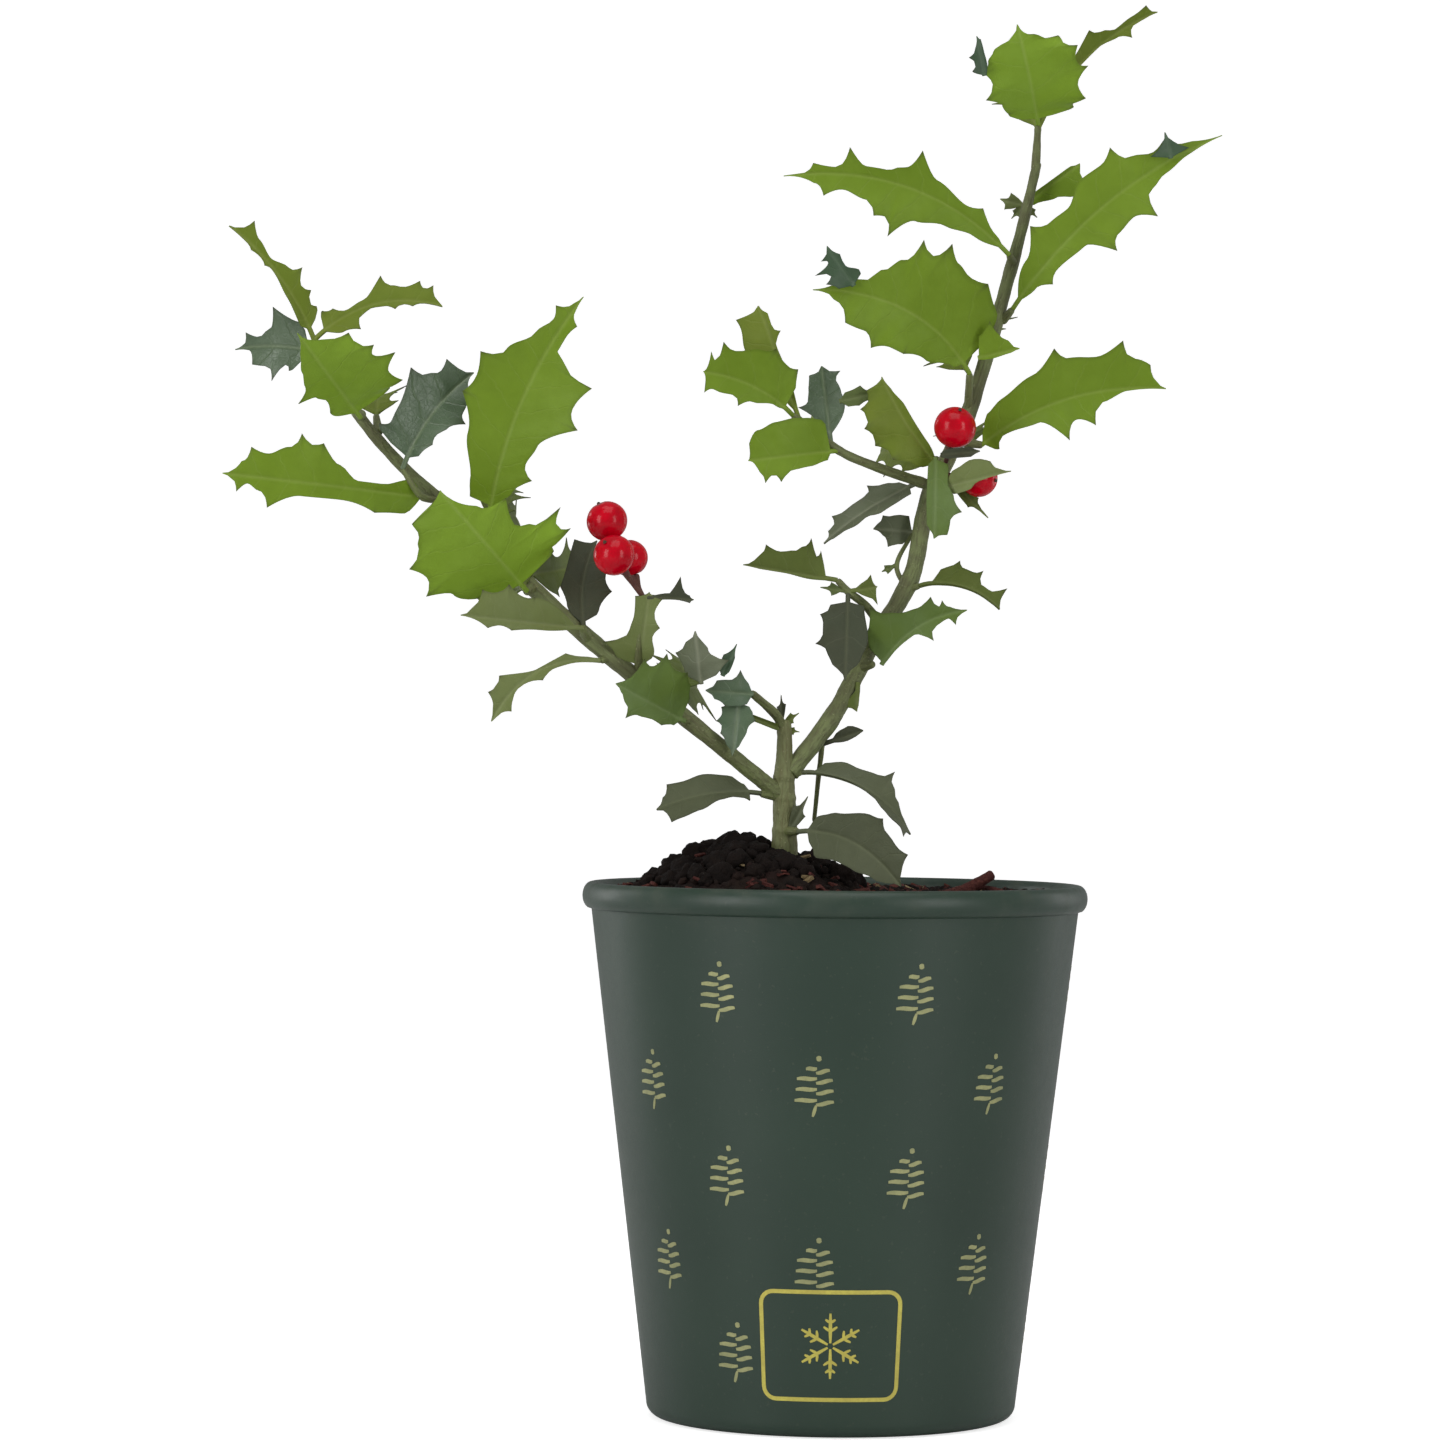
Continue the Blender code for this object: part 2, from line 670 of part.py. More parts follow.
def leaf_shape(leaf, root):
    """Return the closed solid of one leaf whose stalk is rooted at a place."""
    along, right, face = leaf_frame(leaf)
    stalk = min(STALK_LENGTH / (leaf.reach * MM), 0.3)
    narrow = STALK_HALF_WIDTH / MM
    rows = [(0.0, narrow, narrow, 0.0), (stalk, narrow, narrow, 0.0)]
    places, spine_rows = blade_rows(leaf)
    for place in places:
        rise = 0.0
        if place in spine_rows:
            rise = leaf.wave * (1 if spine_rows.index(place) % 2 else -1)
        left = margin(leaf.left, leaf.scallop, place)
        right_width = margin(leaf.right, leaf.scallop, place)
        rows.append((stalk + (1 - stalk) * place, left, right_width, rise))
    tip = TIP_HALF_WIDTH / MM
    rows.append((1.0, tip, tip, 0.0))

    shape = bmesh.new()
    bmesh.ops.create_grid(shape, x_segments=2, y_segments=len(rows) - 1, size=0.5)
    outs = {}
    for corner in list(shape.verts):
        column = round((corner.co.x + 0.5) * 2)
        share, left, right_width, rise = rows[round((corner.co.y + 0.5) * (len(rows) - 1))]
        here = midrib_place(leaf, share)
        ahead = midrib_place(leaf, share + 0.01)
        slope = Vector((ahead[0] - here[0], ahead[1] - here[1], ahead[2] - here[2])).normalized()
        frame_along = along * slope.x + right * slope.y + face * slope.z
        across = frame_along.cross(face).normalized()
        out = across.cross(frame_along)
        width = (left, 0.0, right_width)[column] * MM
        sway = (-1.0, 0.0, 1.0)[column]
        lift = math.radians(leaf.fold)
        place = root + along * here[0] + right * here[1] + face * here[2]
        place += across * sway * width * math.cos(lift)
        place += out * (width * math.sin(lift) + rise * width * (1.0 if column else -1.0))
        corner.co = place
        outs[corner] = out
    upper = list(shape.faces)
    made = bmesh.ops.extrude_face_region(shape, geom=upper)["geom"]
    order = {corner.co.copy().freeze(): corner for corner in outs}
    for corner in made:
        if isinstance(corner, bmesh.types.BMVert):
            source = order[corner.co.copy().freeze()]
            corner.co -= outs[source] * LEAF_THICKNESS
    bmesh.ops.recalc_face_normals(shape, faces=shape.faces)
    return shape


def combine(thing, others, operation, solver="EXACT"):
    """Join objects to one, or cut them from it, apply that, and remove the others."""
    bundle = bpy.data.collections.new("bundle")
    bpy.context.scene.collection.children.link(bundle)
    for other in others:
        bundle.objects.link(other)
    step = thing.modifiers.new("combine", "BOOLEAN")
    step.operation = operation
    step.solver = solver
    step.operand_type = "COLLECTION"
    step.collection = bundle
    bpy.context.view_layer.update()
    seen = thing.evaluated_get(bpy.context.evaluated_depsgraph_get())
    mesh = bpy.data.meshes.new_from_object(seen)
    thing.modifiers.remove(step)
    thing.data = mesh
    for other in others:
        bpy.data.objects.remove(other, do_unlink=True)
    bpy.data.collections.remove(bundle)


def keep_whole_body(thing):
    """Drop loose scraps and sealed hollows, and tell whether the body left is closed."""
    shape = bmesh.new()
    shape.from_mesh(thing.data)
    bmesh.ops.remove_doubles(shape, verts=shape.verts, dist=0.002 * MM)
    bmesh.ops.dissolve_degenerate(shape, dist=0.002 * MM, edges=shape.edges)
    bmesh.ops.triangulate(shape, faces=shape.faces)
    unseen = set(shape.faces)
    bodies = []
    while unseen:
        waiting = [unseen.pop()]
        body = set(waiting)
        while waiting:
            for edge in waiting.pop().edges:
                for face in edge.link_faces:
                    if face in unseen:
                        unseen.remove(face)
                        body.add(face)
                        waiting.append(face)
        bodies.append(body)
    largest = max(bodies, key=lambda body: sum(face.calc_area() for face in body))
    scraps = [face for body in bodies if body is not largest for face in body]
    bmesh.ops.delete(shape, geom=scraps, context="FACES")
    closed = all(len(edge.link_faces) == 2 for edge in shape.edges)
    shape.to_mesh(thing.data)
    shape.free()
    return closed


def place_on(route, share):
    """Return the place at a share of a route."""
    place = share * (len(route) - 1)
    index = min(int(place), len(route) - 2)
    return route[index].lerp(route[index + 1], place - index)


def berry_shapes(shoot, route):
    """Return each berry of a shoot with a stalk from the end of its stem."""
    shapes = []
    for berry in shoot.berries:
        middle = Vector(berry.place) * MM
        ball = bmesh.new()
        bmesh.ops.create_icosphere(ball, subdivisions=2, radius=BERRY_RADIUS * berry.size)
        bmesh.ops.translate(ball, verts=ball.verts, vec=middle)
        shapes.append(ball)
        radius = BERRY_STALK_RADIUS / MM
        shapes.append(tube([route[-1], route[-1].lerp(middle, 0.5), middle], (radius, radius), 5))
    return shapes


def behind_leaves(shoot, number, limbs_tree, trees):
    """Return the leaves that the seeded rule adds behind a shoot, clear of all the rest."""
    dice = random.Random(1000 + number)
    route = smooth_route(shoot.stem, 3)
    others = trees[:number] + trees[number + 1 :]
    added = []
    for _ in range(shoot.behind):
        for _ in range(BACK_TRIES):
            leaf = Leaf(
                at=dice.uniform(0.6, 1.0),
                heading=dice.uniform(*BACK_HEADING),
                toward=dice.uniform(*BACK_TOWARD),
                reach=dice.uniform(*BACK_REACH),
                left=spiny(dice.uniform(*BACK_HALF_WIDTH)),
                right=spiny(dice.uniform(*BACK_HALF_WIDTH)),
                arch=dice.uniform(24, 48),
            )
            shape = leaf_shape(leaf, place_on(route, leaf.at))
            good = is_behind(shape, trees) and stays_clear(shape, route[0], limbs_tree, others)
            shape.free()
            if good:
                added.append(leaf)
                break
    return added


def is_behind(shape, trees):
    """Tell whether most of a leaf's corners are behind other leaves, seen from the front."""
    step = Vector((0.0, -CLEARANCE, 0.0))
    covered = 0
    for corner in shape.verts:
        start = corner.co + step
        covered += any(tree.ray_cast(start, step)[0] is not None for tree in trees)
    return covered > BACK_HIDDEN * len(shape.verts)


def stays_clear(shape, foot, limbs_tree, others):
    """Tell whether every corner of a leaf is clear of the limbs and the other shoots."""
    own = BVHTree.FromBMesh(shape)
    if any(own.overlap(other) for other in others):
        return False
    for corner in shape.verts:
        if any(other.find_nearest(corner.co, CLEARANCE)[0] is not None for other in others):
            return False
        far = (corner.co - foot).length > 3 * STALK_LENGTH
        if far and limbs_tree.find_nearest(corner.co, CLEARANCE)[0] is not None:
            return False
    return True


def fuse_shoot(shoot, extra, material, solver):
    """Fuse one shoot's stem, leaves and berries, cut it clear of the limbs, and return it."""
    route = smooth_route(shoot.stem, 3)
    radii = (shoot.radius, shoot.radius * 0.8)
    stem = add_object(shoot.name, tube(route, radii, SHOOT_SIDES), material, 50)
    shapes = [leaf_shape(leaf, place_on(route, leaf.at)) for leaf in (*shoot.leaves, *extra)]
    shapes += berry_shapes(shoot, route)
    combine(stem, [add_object("piece", shape, None) for shape in shapes], "UNION", solver)
    rooms = [add_object("room", limb_shape(limb, GAP), None) for limb in LIMBS]
    combine(stem, rooms, "DIFFERENCE", solver)
    return stem


def build_shoot(shoot, extra, material):
    """Build a shoot as one closed body, with fewer of the extra leaves where it must."""
    for count in range(len(extra), -1, -1):
        for solver in ("EXACT", "MANIFOLD"):
            stem = fuse_shoot(shoot, extra[:count], material, solver)
            if keep_whole_body(stem):
                return stem
            bpy.data.objects.remove(stem, do_unlink=True)
    raise RuntimeError("no closed body for " + shoot.name)


def tree_of(shape):
    """Return a search tree of a bmesh, and free the bmesh."""
    tree = BVHTree.FromBMesh(shape)
    shape.free()
    return tree


def shoot_tree(shoot):
    """Return a search tree of a shoot's named leaves, stem and berries."""
    route = smooth_route(shoot.stem, 3)
    shapes = [leaf_shape(leaf, place_on(route, leaf.at)) for leaf in shoot.leaves]
    shapes += berry_shapes(shoot, route)
    shapes.append(tube(route, (shoot.radius, shoot.radius), SHOOT_SIDES))
    whole = bmesh.new()
    for shape in shapes:
        mesh = bpy.data.meshes.new("part")
        shape.to_mesh(mesh)
        shape.free()
        whole.from_mesh(mesh)
        bpy.data.meshes.remove(mesh)
    return tree_of(whole)


def main():
    """Build the pot, the soil, the limbs and every shoot."""
    clear_scene()
    green_plastic = finish_material("green_plastic", (0.048, 0.070, 0.050), 0.38)
    soil_brown = finish_material("soil_brown", (0.014, 0.010, 0.009), 0.95)
    bark_green = finish_material("bark_green", (0.13, 0.15, 0.075), 0.6)
    leaf_green = finish_material("leaf_green", (0.15, 0.27, 0.03), 0.35)

    add_object("pot", spun(pot_profile(), POT_STEPS), green_plastic, 35)
    foot_room = add_object("foot_room", limb_shape(MAIN_STEM, GAP), None)
    build_soil(soil_brown, foot_room)

    add_object(MAIN_STEM.name, limb_shape(MAIN_STEM), bark_green, 50)
    for bough in (LEFT_BOUGH, RIGHT_BOUGH):
        limb = add_object(bough.name, limb_shape(bough), bark_green, 50)
        combine(limb, [add_object("stem_room", limb_shape(MAIN_STEM, GAP), None)], "DIFFERENCE")
        keep_whole_body(limb)

    joined = bmesh.new()
    for limb in LIMBS:
        joined.from_mesh(bpy.data.objects[limb.name].data)
    limbs_tree = tree_of(joined)
    trees = [shoot_tree(shoot) for shoot in SHOOTS]
    for number, shoot in enumerate(SHOOTS):
        extra = behind_leaves(shoot, number, limbs_tree, trees)
        thing = build_shoot(shoot, extra, leaf_green)
        grown = bmesh.new()
        grown.from_mesh(thing.data)
        trees[number] = tree_of(grown)


main()
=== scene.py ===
"""Looks of a young potted holly, made around its solids and in their frame: metres, +Z up.

The solids give the places and the reach. Pot, soil, bark, twigs, leaves and berries are made
again here, finer, and dressed. Sizes of limbs, shoots and leaves are in millimetres, which MM
turns into metres. Angles are in degrees.
"""

import logging
import math
import random
from dataclasses import dataclass
from enum import Enum

import bmesh
import bpy
from mathutils import Matrix, Vector, noise
from mathutils.bvhtree import BVHTree


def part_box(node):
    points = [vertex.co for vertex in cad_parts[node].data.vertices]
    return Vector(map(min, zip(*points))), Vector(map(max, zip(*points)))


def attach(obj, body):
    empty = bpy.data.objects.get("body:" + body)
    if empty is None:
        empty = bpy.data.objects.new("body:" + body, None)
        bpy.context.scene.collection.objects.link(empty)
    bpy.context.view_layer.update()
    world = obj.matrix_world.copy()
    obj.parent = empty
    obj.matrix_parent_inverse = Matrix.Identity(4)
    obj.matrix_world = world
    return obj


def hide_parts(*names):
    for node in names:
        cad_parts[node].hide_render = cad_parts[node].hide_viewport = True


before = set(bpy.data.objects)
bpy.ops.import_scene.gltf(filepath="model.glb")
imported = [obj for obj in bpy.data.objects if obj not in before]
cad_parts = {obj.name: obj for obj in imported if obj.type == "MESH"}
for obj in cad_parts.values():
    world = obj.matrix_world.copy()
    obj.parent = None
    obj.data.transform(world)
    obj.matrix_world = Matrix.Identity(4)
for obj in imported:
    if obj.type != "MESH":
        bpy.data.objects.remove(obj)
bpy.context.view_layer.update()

LOG = logging.getLogger("holly")
MM = 0.001
WELD = 0.002 * MM
SEAM = 0.01 * MM
SLOPE_STEP = 0.01
ROOT_BODY = "root"

Colour = tuple[float, float, float]
Spines = tuple[tuple[float, float], ...]
Points = tuple[tuple[float, float, float], ...]


def shade(red: float, green: float, blue: float) -> Colour:
    """Turn a screen colour of 0 to 255 into the linear colour that shaders take.

    Args:
        red, green, blue: The screen colour's parts.

    Returns:
        The same colour in linear parts of 0 to 1.
    """
    parts = []
    for part in (red / 255, green / 255, blue / 255):
        parts.append(part / 12.92 if part <= 0.04045 else ((part + 0.055) / 1.055) ** 2.4)
    return parts[0], parts[1], parts[2]


def ease(low: float, high: float, value: float) -> float:
    """Return 0 below low, 1 above high, and a smooth step in between."""
    share = min(1.0, max(0.0, (value - low) / (high - low)))
    return share * share * (3 - 2 * share)


# Materials


class Graph:
    """A node tree that is wired with short calls."""

    def __init__(self, tree: bpy.types.NodeTree) -> None:
        """Take the tree that the calls add to."""
        self.tree = tree

    def add(self, kind: str, inputs: dict | None = None, **settings) -> bpy.types.Node:
        """Add a node.

        Args:
            kind: The node's type.
            inputs: For each socket's name or number, a value or the socket that feeds it.
            settings: Properties of the node.

        Returns:
            The new node.
        """
        node = self.tree.nodes.new(kind)
        for name, value in settings.items():
            setattr(node, name, value)
        for name, value in (inputs or {}).items():
            if isinstance(value, bpy.types.NodeSocket):
                self.tree.links.new(value, node.inputs[name])
            else:
                node.inputs[name].default_value = value
        return node

    def math(self, operation: str, *values: object, clamp: bool = False) -> bpy.types.NodeSocket:
        """Add a Math node on values or sockets, and return its result."""
        inputs = dict(enumerate(values))
        return self.add("ShaderNodeMath", inputs, operation=operation, use_clamp=clamp).outputs[0]

    def noise(self, place: object, scale: float, detail: float = 3.0) -> bpy.types.NodeSocket:
        """Add a Noise node at a place, and return its value of 0 to 1."""
        inputs = {"Vector": place, "Scale": scale, "Detail": detail}
        return self.add("ShaderNodeTexNoise", inputs).outputs[0]

    def spread(self, value: object, low: float, high: float, start: float = 0.0,
               end: float = 1.0) -> bpy.types.NodeSocket:
        """Map low to high onto start to end, clamped, and return the result."""
        inputs = {0: value, 1: low, 2: high, 3: start, 4: end}
        return self.add("ShaderNodeMapRange", inputs).outputs[0]

    def tint(self, factor: object, first: object, second: object) -> bpy.types.NodeSocket:
        """Mix two colours by a factor, and return the result."""
        node = self.add("ShaderNodeMix", data_type="RGBA")
        for number, value in ((0, factor), (6, first), (7, second)):
            if isinstance(value, bpy.types.NodeSocket):
                self.tree.links.new(value, node.inputs[number])
            else:
                node.inputs[number].default_value = value if number == 0 else (*value, 1.0)
        return node.outputs[2]

    def wash(self, colour: object, over: Colour, mask: object, share: float) -> bpy.types.NodeSocket:
        """Lay a colour over another by a share of a mask, and return the result."""
        return self.tint(self.math("MULTIPLY", mask, share), colour, over)

    def bump(self, height: object, distance: float, strength: float) -> bpy.types.NodeSocket:
        """Add a Bump node on a height, and return its normal."""
        inputs = {"Height": height, "Distance": distance, "Strength": strength}
        return self.add("ShaderNodeBump", inputs).outputs[0]


@dataclass(frozen=True)
class GroupSpec:
    """A shader node group's name, and its named inputs and outputs of single values."""

    name: str
    inputs: tuple[tuple[str, float], ...]
    outputs: tuple[str, ...]

    def start(self) -> tuple[Graph, bpy.types.Node, bpy.types.Node]:
        """Make the group, and return its graph and its input and output nodes."""
        tree = bpy.data.node_groups.new(self.name, "ShaderNodeTree")
        for name, value in self.inputs:
            socket = tree.interface.new_socket(name, in_out="INPUT", socket_type="NodeSocketFloat")
            socket.default_value = value
        for name in self.outputs:
            tree.interface.new_socket(name, in_out="OUTPUT", socket_type="NodeSocketFloat")
        graph = Graph(tree)
        return graph, graph.add("NodeGroupInput"), graph.add("NodeGroupOutput")


VEIN_SPACING = 6.5
VEIN_SLOPE = 0.62


class Effects:
    """The node groups that several materials share."""

    def __init__(self) -> None:
        """Build each group once."""
        self.mottle = self._build_mottle()
        self.veins = self._build_veins()
        self.grain = self._build_grain()

    @staticmethod
    def _build_mottle() -> bpy.types.NodeTree:
        """Return a group of soft blotches on Object coordinates."""
        spec = GroupSpec("mottle", (("Scale", 100.0), ("Low", 0.35), ("High", 0.65)), ("Mask",))
        graph, given, made = spec.start()
        place = graph.add("ShaderNodeTexCoord").outputs["Object"]
        noise_node = graph.add("ShaderNodeTexNoise", {"Vector": place, "Scale": given.outputs["Scale"]})
        noise_node.inputs["Detail"].default_value = 4.0
        inputs = {0: noise_node.outputs[0], 1: given.outputs["Low"], 2: given.outputs["High"]}
        mask = graph.add("ShaderNodeMapRange", inputs).outputs[0]
        graph.tree.links.new(mask, made.inputs["Mask"])
        return graph.tree

    @staticmethod
    def _build_veins() -> bpy.types.NodeTree:
        """Return a group of the veins and the margin of a leaf, on its own map and attribute."""
        spec = GroupSpec("veins", (("Width", 0.3),), ("Rib", "Vein", "Margin", "Spine", "Height"))
        graph, given, made = spec.start()
        flat = graph.add("ShaderNodeUVMap", uv_map="blade").outputs[0]
        parts = graph.add("ShaderNodeSeparateXYZ", {0: flat})
        across = graph.math("ABSOLUTE", parts.outputs[1])
        rib_half = graph.math("MULTIPLY", given.outputs["Width"], 2.2)
        rib = graph.math("SUBTRACT", 1.0, graph.math("DIVIDE", across, rib_half), clamp=True)
        sway = graph.noise(flat, 0.25, 2.0)
        slanted = graph.math("MULTIPLY_ADD", across, -VEIN_SLOPE, parts.outputs[0])
        swayed = graph.math("MULTIPLY_ADD", sway, 2.4, slanted)
        phase = graph.math("FRACT", graph.math("DIVIDE", swayed, VEIN_SPACING))
        off = graph.math("ABSOLUTE", graph.math("SUBTRACT", phase, 0.5))
        vein = graph.spread(off, 0.5 - 0.045, 0.5)
        cells = graph.add(
            "ShaderNodeTexVoronoi", {"Vector": flat, "Scale": 0.85}, feature="DISTANCE_TO_EDGE"
        ).outputs[0]
        net = graph.spread(cells, 0.0, 0.12, 1.0, 0.0)
        edge = graph.add("ShaderNodeAttribute", attribute_name="edge").outputs["Fac"]
        spine = graph.add("ShaderNodeAttribute", attribute_name="spine").outputs["Fac"]
        lines = graph.math("MAXIMUM", rib, graph.math("MULTIPLY", vein, 0.55))
        sunk = graph.math("MULTIPLY_ADD", net, -0.12, graph.math("MULTIPLY", lines, -0.8))
        fade = graph.spread(edge, 0.75, 0.95, 1.0, 0.35)
        graph.tree.links.new(rib, made.inputs["Rib"])
        graph.tree.links.new(graph.math("MULTIPLY", vein, fade), made.inputs["Vein"])
        graph.tree.links.new(graph.spread(edge, 0.90, 1.0), made.inputs["Margin"])
        graph.tree.links.new(spine, made.inputs["Spine"])
        graph.tree.links.new(sunk, made.inputs["Height"])
        return graph.tree

    @staticmethod
    def _build_grain() -> bpy.types.NodeTree:
        """Return a group of fine grain on Object coordinates, for bump and roughness."""
        spec = GroupSpec("grain", (("Scale", 2500.0), ("Share", 0.5)), ("Height",))
        graph, given, made = spec.start()
        place = graph.add("ShaderNodeTexCoord").outputs["Object"]
        fine_scale = given.outputs["Scale"]
        fine = graph.add("ShaderNodeTexNoise", {"Vector": place, "Scale": fine_scale}).outputs[0]
        coarse_scale = graph.math("MULTIPLY", fine_scale, 0.13)
        coarse = graph.add("ShaderNodeTexNoise", {"Vector": place, "Scale": coarse_scale}).outputs[0]
        both = graph.add("ShaderNodeMix", {0: given.outputs["Share"], 2: coarse, 3: fine}).outputs[0]
        graph.tree.links.new(both, made.inputs["Height"])
        return graph.tree


def fit(graph: Graph, shader: bpy.types.Node, **sockets: object) -> None:
    """Feed or set the shader's sockets, named in lower case with underlines for blanks."""
    for name, value in sockets.items():
        socket = shader.inputs[name.replace("_", " ").title().replace("Ior", "IOR")]
        if isinstance(value, bpy.types.NodeSocket):
            graph.tree.links.new(value, socket)
        else:
            socket.default_value = value


def start_material(name: str) -> tuple[bpy.types.Material, Graph, bpy.types.Node]:
    """Make a material, and return it with its graph and its shader."""
    material = bpy.data.materials.new(name)
    material.use_nodes = True
    return material, Graph(material.node_tree), material.node_tree.nodes["Principled BSDF"]


def place_group(graph: Graph, tree: bpy.types.NodeTree, **values: float) -> bpy.types.Node:
    """Add a group node with its own values, and return it."""
    node = graph.add("ShaderNodeGroup")
    node.node_tree = tree
    for name, value in values.items():
        node.inputs[name.capitalize()].default_value = value
    return node


@dataclass(frozen=True)
class LeafFinish:
    """The finish of one tone of leaf: its blade, its veins, its margin and its gloss."""

    name: str
    blade: Colour
    patch: Colour
    rib: Colour
    roughness: float = 0.50
    gloss: float = 0.22
    rib_strength: float = 0.34
    relief: float = 0.5

    VEIN_SHARE = 0.35
    DARKER = 0.86
    RIM_DARKER = 0.62

    def build(self, effects: Effects) -> bpy.types.Material:
        """Return the material of this tone."""
        material, graph, shader = start_material(self.name)
        veins = place_group(graph, effects.veins)
        blotch = place_group(graph, effects.mottle, scale=85.0, low=0.38, high=0.66).outputs[0]
        fine = place_group(graph, effects.mottle, scale=420.0, low=0.30, high=0.70).outputs[0]
        colour = graph.wash(self.blade, self.patch, blotch, 0.75)
        darker = tuple(part * self.DARKER for part in self.blade)
        colour = graph.wash(colour, darker, fine, 0.30)
        vein_strength = self.rib_strength * self.VEIN_SHARE
        colour = graph.wash(colour, self.rib, veins.outputs["Vein"], vein_strength)
        colour = graph.wash(colour, self.rib, veins.outputs["Rib"], self.rib_strength)
        rim = tuple(part * self.RIM_DARKER for part in self.blade)
        colour = graph.wash(colour, rim, veins.outputs["Margin"], 0.55)
        colour = graph.wash(colour, SPINE_BROWN, veins.outputs["Spine"], 0.75)
        rough = graph.spread(fine, 0.0, 1.0, self.roughness - 0.05, self.roughness + 0.08)
        skin = place_group(graph, effects.grain, scale=2600.0, share=0.45).outputs[0]
        height = graph.math("MULTIPLY_ADD", skin, 0.30, veins.outputs["Height"])
        normal = graph.bump(height, 0.25 * MM, self.relief)
        fit(graph, shader, base_color=colour, roughness=rough, normal=normal)
        fit(graph, shader, specular_ior_level=self.gloss)
        return material


SPINE_BROWN = shade(58, 58, 38)


class Tone(Enum):
    """The tones of the leaves, by where they grow and how the light finds them; the sunlit tone is painted
    light, and the shade tones are painted shade.
    """

    # This tone is a lighter copy of the bright tone, for leaves that face the light: painted light.
    SUNNY = LeafFinish("leaf_sunny", shade(124, 156, 40), shade(130, 162, 50), shade(156, 178, 92))
    PALE = LeafFinish("leaf_pale", shade(116, 128, 72), shade(122, 134, 84), shade(146, 154, 108))
    ASH = LeafFinish(
        "leaf_ash", shade(100, 108, 82), shade(124, 130, 108), shade(150, 154, 130), 0.5, 0.3, 0.5
    )
    FERN = LeafFinish("leaf_fern", shade(94, 116, 50), shade(104, 126, 72), shade(132, 150, 100))
    # This dark teal tone is for small pieces and curled leaf tips that lie in shade: painted shade.
    SHADE = LeafFinish("leaf_shade", shade(56, 80, 54), shade(68, 92, 66), shade(90, 112, 84), 0.45, 0.4)
    BRIGHT = LeafFinish("leaf_bright", shade(110, 138, 30), shade(118, 146, 40), shade(146, 164, 80))
    MEADOW = LeafFinish("leaf_meadow", shade(104, 122, 34), shade(114, 128, 44), shade(140, 150, 80))
    OLIVE = LeafFinish("leaf_olive", shade(92, 106, 46), shade(100, 112, 52), shade(128, 136, 84))
    DIM = LeafFinish(
        "leaf_dim", shade(94, 108, 56), shade(86, 100, 58), shade(126, 136, 90), rib_strength=0.4
    )
    GREY = LeafFinish(
        "leaf_grey", shade(76, 96, 68), shade(104, 122, 96), shade(132, 146, 112), 0.34, 0.5, 0.45, 0.9
    )
    SAGE = LeafFinish("leaf_sage", shade(86, 92, 68), shade(94, 100, 74), shade(112, 118, 88))
    TEAL = LeafFinish(
        "leaf_teal", shade(78, 100, 74), shade(100, 116, 88), shade(122, 136, 104), 0.40, 0.4, 0.4
    )
    # This dark olive is for leaves deep in the bush: partly their own darker colour, partly painted shade.
    DARK = LeafFinish("leaf_dark", shade(68, 74, 56), shade(72, 74, 56), shade(92, 96, 72), 0.50, 0.2, 0.5)
    UNDER = LeafFinish("leaf_underside", shade(106, 120, 60), shade(114, 126, 70), shade(136, 146, 92), 0.6)


@dataclass(frozen=True)
class BarkFinish:
    """Green young bark with brown streaks, pale pores and a scuffed grain."""

    name: str
    skin: Colour
    streak: Colour
    pore: Colour
    browned: float = 0.35

    def build(self, effects: Effects) -> bpy.types.Material:
        """Return the material of this bark."""
        material, graph, shader = start_material(self.name)
        flat = graph.add("ShaderNodeUVMap", uv_map="blade").outputs[0]
        long_way = graph.add("ShaderNodeMapping", {"Vector": flat, "Scale": (1.1, 0.22, 1.0)}).outputs[0]
        streaks = graph.spread(graph.noise(long_way, 1.3, 5.0), 0.45, 0.68)
        blotch = place_group(graph, effects.mottle, scale=150.0, low=0.42, high=0.62).outputs[0]
        dots = graph.add("ShaderNodeTexVoronoi", {"Vector": flat, "Scale": 0.75}).outputs[0]
        pores = graph.spread(dots, 0.10, 0.22, 1.0, 0.0)
        colour = graph.wash(self.skin, self.streak, blotch, self.browned)
        colour = graph.wash(colour, self.streak, streaks, 0.55)
        colour = graph.wash(colour, self.pore, pores, 0.55)
        grain = place_group(graph, effects.grain, scale=1800.0, share=0.5).outputs[0]
        height = graph.math("MULTIPLY_ADD", streaks, 0.8, grain)
        height = graph.math("MULTIPLY_ADD", pores, 0.7, height)
        normal = graph.bump(height, 0.3 * MM, 0.7)
        rough = graph.spread(grain, 0.2, 0.8, 0.52, 0.72)
        fit(graph, shader, base_color=colour, roughness=rough, normal=normal)
        return material


